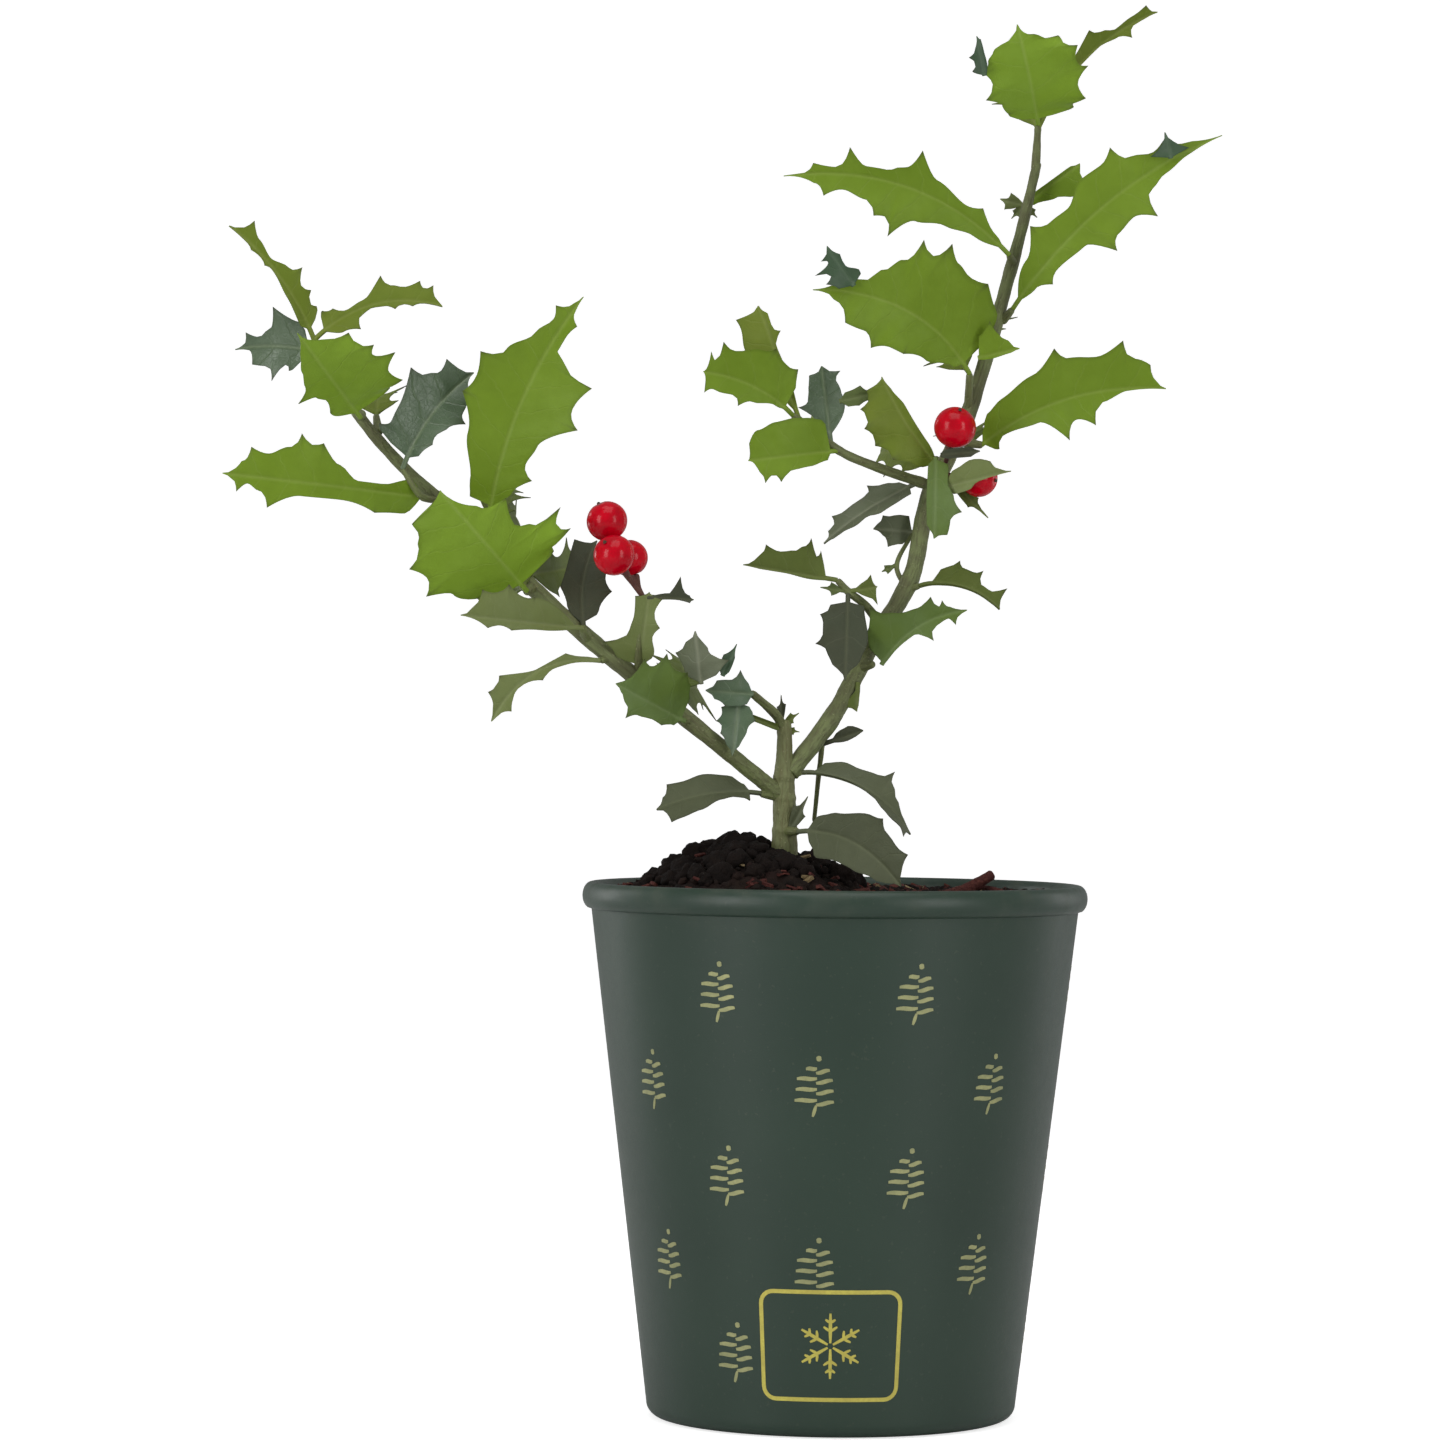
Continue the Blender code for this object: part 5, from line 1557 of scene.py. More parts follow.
BACK_SHOOTS = (
    Shoot("left_back_tip", ((-108, -25.5, 231.5), (-109, -19, 236)), 1.0, (), behind=2),
    Shoot("left_back", ((-72, -20, 196), (-74, -13, 199)), 1.2, (), behind=3),
    Shoot("left_back_low", ((-37, -9, 168), (-39, -2, 172)), 1.1, (), behind=2),
    Shoot("right_back", ((25, 15.5, 226), (24, 23, 229)), 1.2, (), behind=3),
    Shoot("right_back_high", ((36.5, 18.3, 256), (33, 25, 259)), 1.1, (), behind=3),
)
SHOOTS = LEFT_SHOOTS + MIDDLE_SHOOTS + RIGHT_SHOOTS + BACK_SHOOTS


@dataclass(frozen=True)
class BackRule:
    """The seeded rule that gives a shoot the leaves behind it, as its solid has them."""

    reach: tuple[float, float] = (24.0, 40.0)
    half_width: tuple[float, float] = (6.5, 9.5)
    toward: tuple[float, float] = (-86.0, -64.0)
    heading: tuple[float, float] = (10.0, 170.0)
    arch: tuple[float, float] = (24.0, 48.0)
    tries: int = 60
    first_seed: int = 1000
    reach_slack: float = 0.05 * MM
    high: float = 0.215

    def leaves(self, shoot: Shoot, number: int) -> list[Leaf]:
        """Return the leaves behind a shoot.

        Args:
            shoot: The shoot that gets them.
            number: Its place among all the shoots, which seeds the rule.

        Returns:
            The leaves whose tips its solid reaches.
        """
        dice = random.Random(self.first_seed + number)
        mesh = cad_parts[shoot.name].data
        corners = [vertex.co for vertex in mesh.vertices]
        solid = BVHTree.FromPolygons(corners, [tuple(face.vertices) for face in mesh.polygons])
        route = smooth_route(shoot.stem, Foliage.SHOOT_STEPS)
        added: list[Leaf] = []
        for _ in range(shoot.behind):
            for _ in range(self.tries):
                leaf = Leaf(
                    at=dice.uniform(0.6, 1.0),
                    heading=dice.uniform(*self.heading),
                    toward=dice.uniform(*self.toward),
                    reach=dice.uniform(*self.reach),
                    left=spiny(dice.uniform(*self.half_width)),
                    right=spiny(dice.uniform(*self.half_width)),
                    arch=dice.uniform(*self.arch),
                    tone=Tone.MEADOW if route[-1].z > self.high else Tone.OLIVE,
                )
                tip = place_on(route, leaf.at) + leaf.directions[0] * leaf.reach * MM
                if solid.find_nearest(tip)[3] < self.reach_slack:
                    added.append(leaf)
                    break
        return added


class Foliage:
    """All the shoots: their leaves, twigs and berries."""

    BERRY_RADIUS = 4.8
    BERRY_STALK_RADII = (0.585, 0.52, 1.1)
    BERRY_STALK_SAG = 0.4
    STALK_END = 0.9
    FLOWER_END = 0.985
    TWIG_RADII = (1.15, 1.0, 0.8)
    SHOOT_STEPS = 3
    DIMPLE = 0.07
    DIMPLE_SPREAD = 0.03
    FLATTENING = 0.97
    UNEVENNESS = 0.012

    def __init__(self, palette: Palette) -> None:
        """Take the materials."""
        self.palette = palette
        self.rule = BackRule()
        self.twig_bark = BarkFinish(
            "bark_twig", shade(112, 122, 72), shade(90, 86, 56), shade(150, 154, 110), 0.45
        )
        self.berry_skin = BerryFinish("berry_red", shade(206, 0, 30), shade(132, 0, 16))
        self.berry_stalk = BarkFinish(
            "berry_stalk", shade(98, 62, 48), shade(88, 40, 42), shade(120, 92, 70), 0.6
        )
        self.calyx = BarkFinish("berry_calyx", shade(70, 52, 34), shade(44, 30, 24), shade(96, 80, 52))

    def build(self) -> None:
        """Build every shoot."""
        for number, shoot in enumerate(SHOOTS):
            leaves = [*shoot.leaves, *self.rule.leaves(shoot, number)]
            self._build_leaves(shoot, leaves)
            self._build_twig(shoot, leaves)
            if shoot.berries:
                self._build_berries(shoot)

    def _build_leaves(self, shoot: Shoot, leaves: list[Leaf]) -> None:
        """Build a shoot's leaves as one piece, with a material for each tone among them."""
        route = smooth_route(shoot.stem, self.SHOOT_STEPS)
        tones = sorted({leaf.tone.name for leaf in leaves})
        shape = bmesh.new()
        for leaf in leaves:
            blade = Blade(leaf, Vector(leaf.start) * MM if leaf.start else place_on(route, leaf.at))
            blade.grow(shape, tones.index(leaf.tone.name), len(tones))
        materials = [self.palette.get(Tone[name].value) for name in [*tones, "UNDER"]]
        add_piece(shoot.name + "_leaves", shape, materials, (shoot.name,))

    def _build_twig(self, shoot: Shoot, leaves: list[Leaf]) -> None:
        """Build a shoot's twig, a little thicker where its leaves stand."""
        shape = bmesh.new()
        swells = tuple(leaf.at for leaf in leaves if not leaf.start)
        radii = tuple(shoot.radius * share for share in self.TWIG_RADII)
        Stem(shoot.stem, radii, sides=12, step=0.6, relief=0.08, swells=swells).grow(shape)
        add_piece(shoot.name + "_twig", shape, [self.palette.get(self.twig_bark)])

    def _build_berries(self, shoot: Shoot) -> None:
        """Build a shoot's berries, and their stalks and dried flower parts."""
        end = Vector(shoot.stem[-1])
        skins = bmesh.new()
        stalks = bmesh.new()
        for berry in shoot.berries:
            middle = Vector(berry.place)
            radius = self.BERRY_RADIUS * berry.size
            out = (middle - end).normalized()
            self._ball(skins, middle, radius, out)
            touch = middle - out * radius * self.STALK_END
            bent = end.lerp(touch, 0.5) + Vector((0, 0, -self.BERRY_STALK_SAG))
            route = (tuple(end), tuple(bent), tuple(touch))
            Stem(route, self.BERRY_STALK_RADII, sides=10, step=0.6).grow(stalks)
            self._dried_flower(stalks, middle + out * radius * self.FLOWER_END, out)
        add_piece(shoot.name + "_fruit", skins, [self.palette.get(self.berry_skin)])
        materials = [self.palette.get(self.berry_stalk), self.palette.get(self.calyx)]
        add_piece(shoot.name + "_fruit_stalks", stalks, materials)

    def _ball(self, shape: bmesh.types.BMesh, middle: Vector, radius: float, out: Vector) -> None:
        """Add a berry's skin: a ball, a little flat along its stalk and dimpled at both ends."""
        made = bmesh.ops.create_uvsphere(shape, u_segments=40, v_segments=26, radius=radius * MM)
        for corner in made["verts"]:
            high = corner.co.z / (radius * MM)
            dimple = 1 - self.DIMPLE * math.exp(-(((1 - abs(high)) / self.DIMPLE_SPREAD) ** 2))
            corner.co.z *= self.FLATTENING * dimple
            corner.co *= 1 + self.UNEVENNESS * noise.noise(corner.co * 240 + middle)
        point_out(shape, made["verts"], middle, out)

    @staticmethod
    def _dried_flower(shape: bmesh.types.BMesh, place: Vector, out: Vector) -> None:
        """Add the small dark scar of the flower at a berry's far end."""
        made = bmesh.ops.create_cone(
            shape, cap_ends=True, segments=8, radius1=0.5 * MM, radius2=0.3 * MM, depth=0.4 * MM
        )
        point_out(shape, made["verts"], place, out)
        for face in {face for corner in made["verts"] for face in corner.link_faces}:
            face.material_index = 1


class Wood:
    """The main stem and the two boughs, with the relief of their bark."""

    RELIEF = 0.07
    RING_STEP = 0.55
    JOINT_REACH = 3.5 * MM

    def __init__(self, palette: Palette) -> None:
        """Take the materials."""
        self.palette = palette
        self.trunk_bark = BarkFinish(
            "bark_trunk", shade(118, 124, 80), shade(100, 94, 56), shade(156, 156, 116), 0.4
        )
        self.bough_bark = BarkFinish(
            "bark_bough", shade(114, 124, 76), shade(84, 80, 54), shade(146, 150, 108), 0.5
        )

    def build(self) -> None:
        """Build the three limbs."""
        self._build_limb(MAIN_STEM, self.trunk_bark, 36)
        for bough in (LEFT_BOUGH, RIGHT_BOUGH):
            self._build_limb(bough, self.bough_bark, 28)

    def _build_limb(self, limb: Limb, bark: BarkFinish, sides: int) -> None:
        """Build one limb, thicker where a shoot or a bough leaves it."""
        route = smooth_route(limb.route, Stem.ROUTE_STEPS)
        swells = []
        for shoot in SHOOTS:
            foot = Vector(shoot.stem[0]) * MM
            distances = [(foot - place).length for place in route]
            nearest = min(range(len(route)), key=lambda index: distances[index])
            if distances[nearest] < self.JOINT_REACH:
                swells.append(nearest / (len(route) - 1))
        shape = bmesh.new()
        Stem(limb.route, limb.radii, sides, self.RING_STEP, self.RELIEF, tuple(swells)).grow(shape)
        add_piece(limb.name + "_bark", shape, [self.palette.get(bark)], (limb.name,))


@dataclass(frozen=True)
class PotSizes:
    """The pot's sizes in metres, of which its solid gives the rim's radius and the height."""

    rim_radius: float
    height: float
    rim_depth: float = 6.4 * MM
    rim_inner: float = 55.8 * MM
    top_radius: float = 57.9 * MM
    foot_radius: float = 43.9 * MM
    foot_rounding: float = 3.4 * MM
    wall: float = 1.5 * MM
    floor: float = 2.5 * MM
    steps: int = 180

    def wall_radius(self, height: float) -> float:
        """Return the outer radius of the wall at a height."""
        share = (height - self.foot_rounding) / (self.height - self.rim_depth - self.foot_rounding)
        return self.foot_radius + share * (self.top_radius - self.foot_radius)

    def on_wall(self, around: float, height: float, proud: float = 0.0) -> Vector:
        """Return a place on the wall.

        Args:
            around: The angle from the front, in degrees, anticlockwise seen from above.
            height: The height above the pot's underside.
            proud: How far the place stands out of the wall.

        Returns:
            The place in metres.
        """
        radius = self.wall_radius(height) + proud
        angle = math.radians(around)
        return Vector((radius * math.sin(angle), -radius * math.cos(angle), height))


class Pot:
    """The pot: its shell with the rolled rim, and the gold print on it."""

    TREE_ROWS = (103.2, 82.0, 60.7, 40.0, 19.6)
    TREE_MIDDLE = -5.3
    TREE_COLUMNS = (0.0, 47.4, 99.0, 154.0, -47.4, -99.0, -154.0)
    HALF_COLUMNS = (24.2, 94.0, 146.0, -24.2, -94.0, -146.0)
    TIERS = ((2.4, 3.0, 3.8), (4.5, 3.7, 1.5), (4.8, 3.9, -0.95), (5.1, 4.0, -3.5))
    TREE_ON_PLATE = (3, 0.0)
    BEHIND_PLATE = (0.0, 40.0)
    DASH = 1.0
    DASH_SAG = 0.10
    DASH_OVERLAP = 0.1
    FAR_DROPS = (0.95, 0.25)
    STAR = ((0.0, 6.1), (1.1, 6.3))
    STAR_WIDTH = 1.3
    TRUNK = ((-0.9, -7.2), (-0.1, -4.6))
    TRUNK_WIDTH = 0.8
    STROKE_GRID = (6, 2)
    STROKE_END = 0.45
    PRINT_PROUD = 0.05 * MM
    PRINT_SUNK = 0.10 * MM
    PLATE_AROUND = -1.4
    PLATE_HEIGHT = 21.7
    PLATE_WIDTH = 32.8
    PLATE_DEPTH = 26.0
    PLATE_CORNER = 3.4
    PLATE_LINE = 0.95
    CORNER_STEPS = 6
    LONG_EDGE = 8.0
    LONG_EDGE_CUTS = 9
    ARMS = 6
    ARM = (0.7, 7.6)
    ARM_WIDTH = 0.8
    BRANCHES = ((3.4, 1.9), (5.4, 1.4))
    BRANCH_TURNS = (-55, 55)
    BRANCH_WIDTH = 0.62
    FOOT_STEPS = 8
    WALL_STEPS = 24
    RIM_STEPS = 19
    RIM_START = -62
    RIM_TURN = 236

    def __init__(self, palette: Palette) -> None:
        """Take the materials, and work the sizes out from the solid."""
        low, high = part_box("pot")
        self.palette = palette
        self.sizes = PotSizes(rim_radius=(high.x - low.x) / 2, height=high.z)
        self.plastic = PlasticFinish(
            "pot_green_plastic", shade(38, 57, 46), shade(47, 67, 54), shade(92, 96, 82), self.sizes.height
        )
        self.gold = GoldPrintFinish("print_gold", shade(176, 176, 124), shade(136, 140, 102))
        self.bright_gold = GoldPrintFinish("print_bright_gold", shade(214, 204, 96), shade(180, 166, 84))

    def build(self) -> None:
        """Build the shell and its print."""
        self._build_shell()
        self._build_trees()
        self._build_plate()

    def _profile(self) -> list[tuple[float, float]]:
        """Return the half section, from the middle of the underside round to the floor."""
        sizes = self.sizes
        foot = [(0.0, 0.0), (0.5 * sizes.foot_radius, 0.0)]
        middle = sizes.foot_radius - sizes.foot_rounding
        for step in range(self.FOOT_STEPS + 1):
            angle = math.radians(-90 + 90 * step / self.FOOT_STEPS)
            out = sizes.foot_rounding * math.cos(angle)
            foot.append((middle + out, sizes.foot_rounding * (1 + math.sin(angle))))
        under = sizes.height - sizes.rim_depth
        wall = []
        for step in range(1, self.WALL_STEPS):
            height = sizes.foot_rounding + (under - sizes.foot_rounding) * step / self.WALL_STEPS
            wall.append((sizes.wall_radius(height), height))
        wall += [(sizes.top_radius, under + 0.05 * MM)]
        half_depth = sizes.rim_depth / 2
        half_width = (sizes.rim_radius - sizes.rim_inner) / 2
        rim = []
        for step in range(self.RIM_STEPS + 1):
            angle = math.radians(self.RIM_START + self.RIM_TURN * step / self.RIM_STEPS)
            radius = sizes.rim_radius - half_width + half_width * math.cos(angle)
            rim.append((radius, sizes.height - half_depth + half_depth * math.sin(angle)))
        inside = [
            (sizes.wall_radius(under) - sizes.wall, under),
            (sizes.wall_radius(under / 2) - sizes.wall, under / 2),
            (sizes.wall_radius(sizes.floor + 2 * MM) - sizes.wall, sizes.floor + 2 * MM),
            (sizes.wall_radius(sizes.floor) - sizes.wall - 2 * MM, sizes.floor),
            (0.0, sizes.floor),
        ]
        return foot + wall + rim + inside

    def _build_shell(self) -> None:
        """Spin the half section into the shell."""
        shape = spin_section(self._profile(), self.sizes.steps)
        add_piece("pot_shell", shape, [self.palette.get(self.plastic)], ("pot",), sharp=40)

    def _wrap(self, shape: bmesh.types.BMesh, around: float, height: float) -> bmesh.types.BMesh:
        """Lay a flat shape, drawn in millimetres across X and up Z, on the wall and thicken it.

        Args:
            shape: The flat shape, round the origin.
            around: The angle of its origin from the front.
            height: The height of its origin, in millimetres.

        Returns:
            The same shape.
        """
        made = bmesh.ops.extrude_face_region(shape, geom=shape.faces, use_keep_orig=True)["geom"]
        raised = {item for item in made if isinstance(item, bmesh.types.BMVert)}
        radius = self.sizes.wall_radius(height * MM) / MM
        for corner in shape.verts:
            turned = around + math.degrees(corner.co.x / radius)
            proud = self.PRINT_PROUD if corner in raised else -self.PRINT_SUNK
            corner.co = self.sizes.on_wall(turned, (height + corner.co.z) * MM, proud)
        return shape

    def _stroke(self, start: Vector, end: Vector, thick: float,
                sag: float = 0.0) -> bmesh.types.BMesh:
        """Return a flat wavy dash from start to end, narrower towards its ends."""
        shape = bmesh.new()
        way = end - start
        side = Vector((-way.y, way.x)).normalized()
        columns, rows = self.STROKE_GRID
        for corner, column, row in grid_of(shape, columns, rows):
            share = column / columns
            swell = math.sin(math.pi * (0.08 + 0.84 * share))
            body = self.STROKE_END + (1 - self.STROKE_END) * swell
            place = start + way * share
            place += side * (sag * math.sin(math.tau * share) + (row - 1) * thick / 2 * body)
            corner.co = Vector((place.x, 0.0, place.y))
        return shape

    def _tree(self, heap: Heap, around: float, height: float, whole: bool) -> None:
        """Add one small tree of staggered dashes, with its trunk where it is whole."""
        strokes = []
        inner_drop, outer_drop = self.FAR_DROPS
        for left, right, level in self.TIERS:
            near = (Vector((-left, level)), Vector((self.DASH_OVERLAP, level + self.DASH_OVERLAP)))
            far = (Vector((-self.DASH_OVERLAP, level - inner_drop)), Vector((right, level - outer_drop)))
            strokes.append(self._stroke(*near, self.DASH, self.DASH_SAG))
            strokes.append(self._stroke(*far, self.DASH, -self.DASH_SAG))
        strokes.append(self._stroke(*(Vector(end) for end in self.STAR), self.STAR_WIDTH))
        if whole:
            strokes.append(self._stroke(*(Vector(end) for end in self.TRUNK), self.TRUNK_WIDTH))
        for stroke in strokes:
            heap.add(self._wrap(stroke, around, height))

    def _build_trees(self) -> None:
        """Print the rows of small trees, which in front are half a step apart from row to row."""
        heap = Heap()
        last_row = len(self.TREE_ROWS) - 1
        low, high = self.BEHIND_PLATE
        for number, height in enumerate(self.TREE_ROWS):
            for step in self.TREE_COLUMNS if number % 2 else self.HALF_COLUMNS:
                around = self.TREE_MIDDLE + step
                if number == last_row and low < around < high:
                    continue
                self._tree(heap, around, height, (number, step) != self.TREE_ON_PLATE)
        add_piece("pot_gold_trees", heap.shape, [self.palette.get(self.gold)], sharp=60)

    def _build_plate(self) -> None:
        """Print the plate's line and the plain ornament in it."""
        heap = Heap()
        flat = [self._rounded_frame(self.PLATE_WIDTH / 2, self.PLATE_DEPTH / 2)]
        start, end = self.ARM
        for arm in range(self.ARMS):
            angle = math.radians(30 + 360 / self.ARMS * arm)
            out = Vector((math.cos(angle), math.sin(angle)))
            flat.append(self._stroke(out * start, out * end, self.ARM_WIDTH))
            for spot, size in self.BRANCHES:
                for turn in self.BRANCH_TURNS:
                    branch = Matrix.Rotation(math.radians(turn), 2) @ out
                    tip = out * spot + branch * size
                    flat.append(self._stroke(out * spot, tip, self.BRANCH_WIDTH))
        for shape in flat:
            heap.add(self._wrap(shape, self.PLATE_AROUND, self.PLATE_HEIGHT))
        material = self.palette.get(self.bright_gold)
        add_piece("pot_gold_plate", heap.shape, [material], sharp=60)

    def _rounded_frame(self, half_width: float, half_depth: float) -> bmesh.types.BMesh:
        """Return a flat line round a rectangle with round corners."""
        shape = bmesh.new()
        made = bmesh.ops.create_grid(shape, x_segments=1, y_segments=1, size=1.0)
        for corner in made["verts"]:
            corner.co = Vector((corner.co.x * half_width, 0.0, corner.co.y * half_depth))
        bmesh.ops.bevel(
            shape, geom=made["verts"], offset=self.PLATE_CORNER, segments=self.CORNER_STEPS, profile=0.5,
            affect="VERTICES", material=-1,
        )
        long_edges = [edge for edge in shape.edges if edge.calc_length() > self.LONG_EDGE]
        bmesh.ops.subdivide_edges(shape, edges=long_edges, cuts=self.LONG_EDGE_CUTS)
        whole = list(shape.faces)
        bmesh.ops.inset_region(shape, faces=whole, thickness=self.PLATE_LINE, use_boundary=True)
        bmesh.ops.delete(shape, geom=whole, context="FACES")
        return shape


class Soil:
    """The compost in the pot: its uneven surface, clods, crumbs, bits of bark and sticks."""

    LEVEL = 124.3
    MOUND_HEIGHT = 12.8
    MOUND_X = -20.5
    MOUND_Y = 2.0
    MOUND_HALF_WIDTH = 22.0
    MOUND_HALF_DEPTH = 25.0
    MOUND_SUNK = 2.2
    SURFACE_SUNK = 0.6
    EDGE_SUNK = 1.2
    SURFACE_RADIUS = 54.9
    SURFACE_RINGS = 58
    SURFACE_SIDES = 150
    EDGE_POWER = 14
    COARSE_CRUMBS = (1.3, 0.35, 0)
    FINE_CRUMBS = (0.9, 0.9, 3)
    LUMP_RELIEF = ((1.6, 0.36), (4.5, 0.16))
    TRUNK_X = -12.3
    MOUND_CLODS = 90
    MOUND_CLOD_SIZE = (1.6, 3.6)
    MOUND_REACH = 30
    MOUND_SQUEEZE = 0.85
    CRUMBS = 1100
    CRUMB_SIZE = (0.5, 1.5)
    CRUMB_REACH = 53.5
    BITS = 230
    BIT_LENGTH = (1.6, 5.2)
    BIT_WIDTH = (0.7, 1.8)
    BIT_THICKNESS = (0.35, 0.9)
    BIT_BEND = 0.35
    BIT_REACH = 53
    BITS_TO_ONE_PALE = 6
    STICKS = (
        (((24.0, -6, 123.6), (31.5, -3, 125.8), (37.6, -1, 129.3)), (1.3, 1.45, 1.2), 12),
        (((29.0, 4, 124.0), (35.0, 1, 125.6), (41.0, -4, 124.6)), (0.8, 0.9, 0.6), 10),
    )
    EDGE_CLODS = (
        (-42.6, 0.0, 126.4, 3.2), (-38.0, -3.0, 127.8, 4.4), (-32.6, 2.0, 131.6, 4.6),
        (-29.5, -6.0, 128.0, 4.8), (-23.4, 0.0, 134.2, 5.2), (-17.6, 3.0, 133.8, 3.6),
        (-13.4, -7.0, 131.5, 4.0), (-4.8, -2.0, 131.2, 3.4), (1.6, -6.0, 128.6, 3.2),
        (4.4, -2.0, 126.6, 3.0), (-21.0, -12.0, 128.5, 5.0), (-35.0, -12.0, 127.4, 4.4),
    )

    def __init__(self, palette: Palette, sizes: PotSizes) -> None:
        """Take the materials and the pot's sizes."""
        self.palette = palette
        self.sizes = sizes
        self.dice = random.Random(31)
        self.earth = SoilFinish("soil_compost", shade(28, 21, 18), shade(44, 34, 28), shade(40, 24, 21))
        self.clod = SoilFinish("soil_clod", shade(20, 15, 13), shade(32, 25, 21), shade(27, 19, 16))
        self.red = SoilFinish(
            "soil_red_bark", shade(84, 44, 40), shade(110, 66, 56), shade(66, 34, 32), 900.0, 0.7
        )
        self.tan = SoilFinish(
            "soil_tan_bit", shade(134, 116, 84), shade(160, 142, 110), shade(108, 92, 64), 900.0, 0.75
        )

    def height(self, x: float, y: float) -> float:
        """Return the height of the surface at a place, in millimetres."""
        across = abs((x - self.MOUND_X) / self.MOUND_HALF_WIDTH)
        deep = abs((y - self.MOUND_Y) / self.MOUND_HALF_DEPTH)
        rise = (self.MOUND_HEIGHT - self.MOUND_SUNK) * math.exp(-((across**2 + deep**2) ** 1.5))
        return self.LEVEL + rise - self.SURFACE_SUNK

    def build(self) -> None:
        """Build the surface and what lies on it."""
        self._build_surface()
        self._build_clods()
        self._build_bits()
        self._build_sticks()

    def _build_surface(self) -> None:
        """Spin the fill, and give its top the relief of crumbs."""
        bottom = self.sizes.floor + 0.3 * MM
        top = self.sizes.height - self.sizes.rim_depth
        profile = [
            (0.0, bottom), (self.sizes.wall_radius(bottom) - self.sizes.wall - 2.4 * MM, bottom),
            (self.sizes.wall_radius(top) - self.sizes.wall - 0.6 * MM, top),
        ]
        for ring in range(self.SURFACE_RINGS + 1):
            share = 1 - ring / self.SURFACE_RINGS
            profile.append((self.SURFACE_RADIUS * MM * share, self.LEVEL * MM))
        shape = spin_section(profile, self.SURFACE_SIDES)
        edge_level = self.LEVEL - self.EDGE_SUNK
        for corner in shape.verts:
            if corner.co.z > (self.LEVEL - 0.1) * MM:
                x, y = corner.co.x / MM, corner.co.y / MM
                edge = 1 - min(1.0, (math.hypot(x, y) / self.SURFACE_RADIUS) ** self.EDGE_POWER)
                crumbs = 0.0
                for tall, scale, layer in (self.COARSE_CRUMBS, self.FINE_CRUMBS):
                    crumbs += tall * noise.noise(Vector((x, y, layer)) * scale)
                corner.co.z = (edge_level + edge * (self.height(x, y) - edge_level + crumbs)) * MM
        add_piece("soil_fill", shape, [self.palette.get(self.earth)], ("soil",), sharp=180)

    def _lump(self, heap: Heap, place: Vector, size: float, detail: int, material: int,
              squash: float = 0.78) -> None:
        """Add one rough lump of earth.

        Args:
            heap: The heap that it joins.
            place: Its middle in millimetres.
            size: Its radius in millimetres.
            detail: How often its faces are divided.
            material: The number of its material.
            squash: Its height as a share of its width.
        """
        shape = bmesh.new()
        made = bmesh.ops.create_icosphere(shape, subdivisions=detail, radius=size * MM)
        turn = Matrix.Rotation(self.dice.uniform(0, math.tau), 4, Vector((
            self.dice.uniform(-1, 1), self.dice.uniform(-1, 1), self.dice.uniform(0.2, 1)
        )).normalized())
        seed = Vector((self.dice.uniform(0, 90), self.dice.uniform(0, 90), 0.0))
        for corner in made["verts"]:
            out = corner.co.normalized()
            rough = sum(noise.noise(out * scale + seed) * tall for scale, tall in self.LUMP_RELIEF)
            corner.co *= 1 + rough
            corner.co.z *= squash
            corner.co = turn @ corner.co + place * MM
        for face in shape.faces:
            face.material_index = material
        heap.add(shape)

    def _spot(self, widest: float) -> tuple[float, float]:
        """Return a random place on the surface within a radius."""
        radius = widest * math.sqrt(self.dice.random())
        angle = self.dice.uniform(0, math.tau)
        return radius * math.cos(angle), radius * math.sin(angle)

    def _build_clods(self) -> None:
        """Build the large clods of the mound and the crumbs over the whole surface."""
        heap = Heap()
        for x, y, z, size in self.EDGE_CLODS:
            self._lump(heap, Vector((x, y, z)), size, 4, 0, 0.86)
        for _ in range(self.MOUND_CLODS):
            x, y = self._spot(self.MOUND_REACH)
            x = x * self.MOUND_SQUEEZE + self.MOUND_X
            y = y * self.MOUND_SQUEEZE + self.MOUND_Y
            if math.hypot(x, y) < 50 and math.hypot(x - self.TRUNK_X, y) > 6.5:
                size = self.dice.uniform(*self.MOUND_CLOD_SIZE)
                self._lump(heap, Vector((x, y, self.height(x, y) + size * 0.1)), size, 3, 0)
        for _ in range(self.CRUMBS):
            x, y = self._spot(self.CRUMB_REACH)
            size = self.dice.uniform(*self.CRUMB_SIZE)
            if math.hypot(x - self.TRUNK_X, y) > 4.6:
                place = Vector((x, y, self.height(x, y) + size * 0.2))
                self._lump(heap, place, size, 2, self.dice.choice((0, 1)))
        materials = [self.palette.get(self.clod), self.palette.get(self.earth)]
        add_piece("soil_clods", heap.shape, materials, sharp=180)

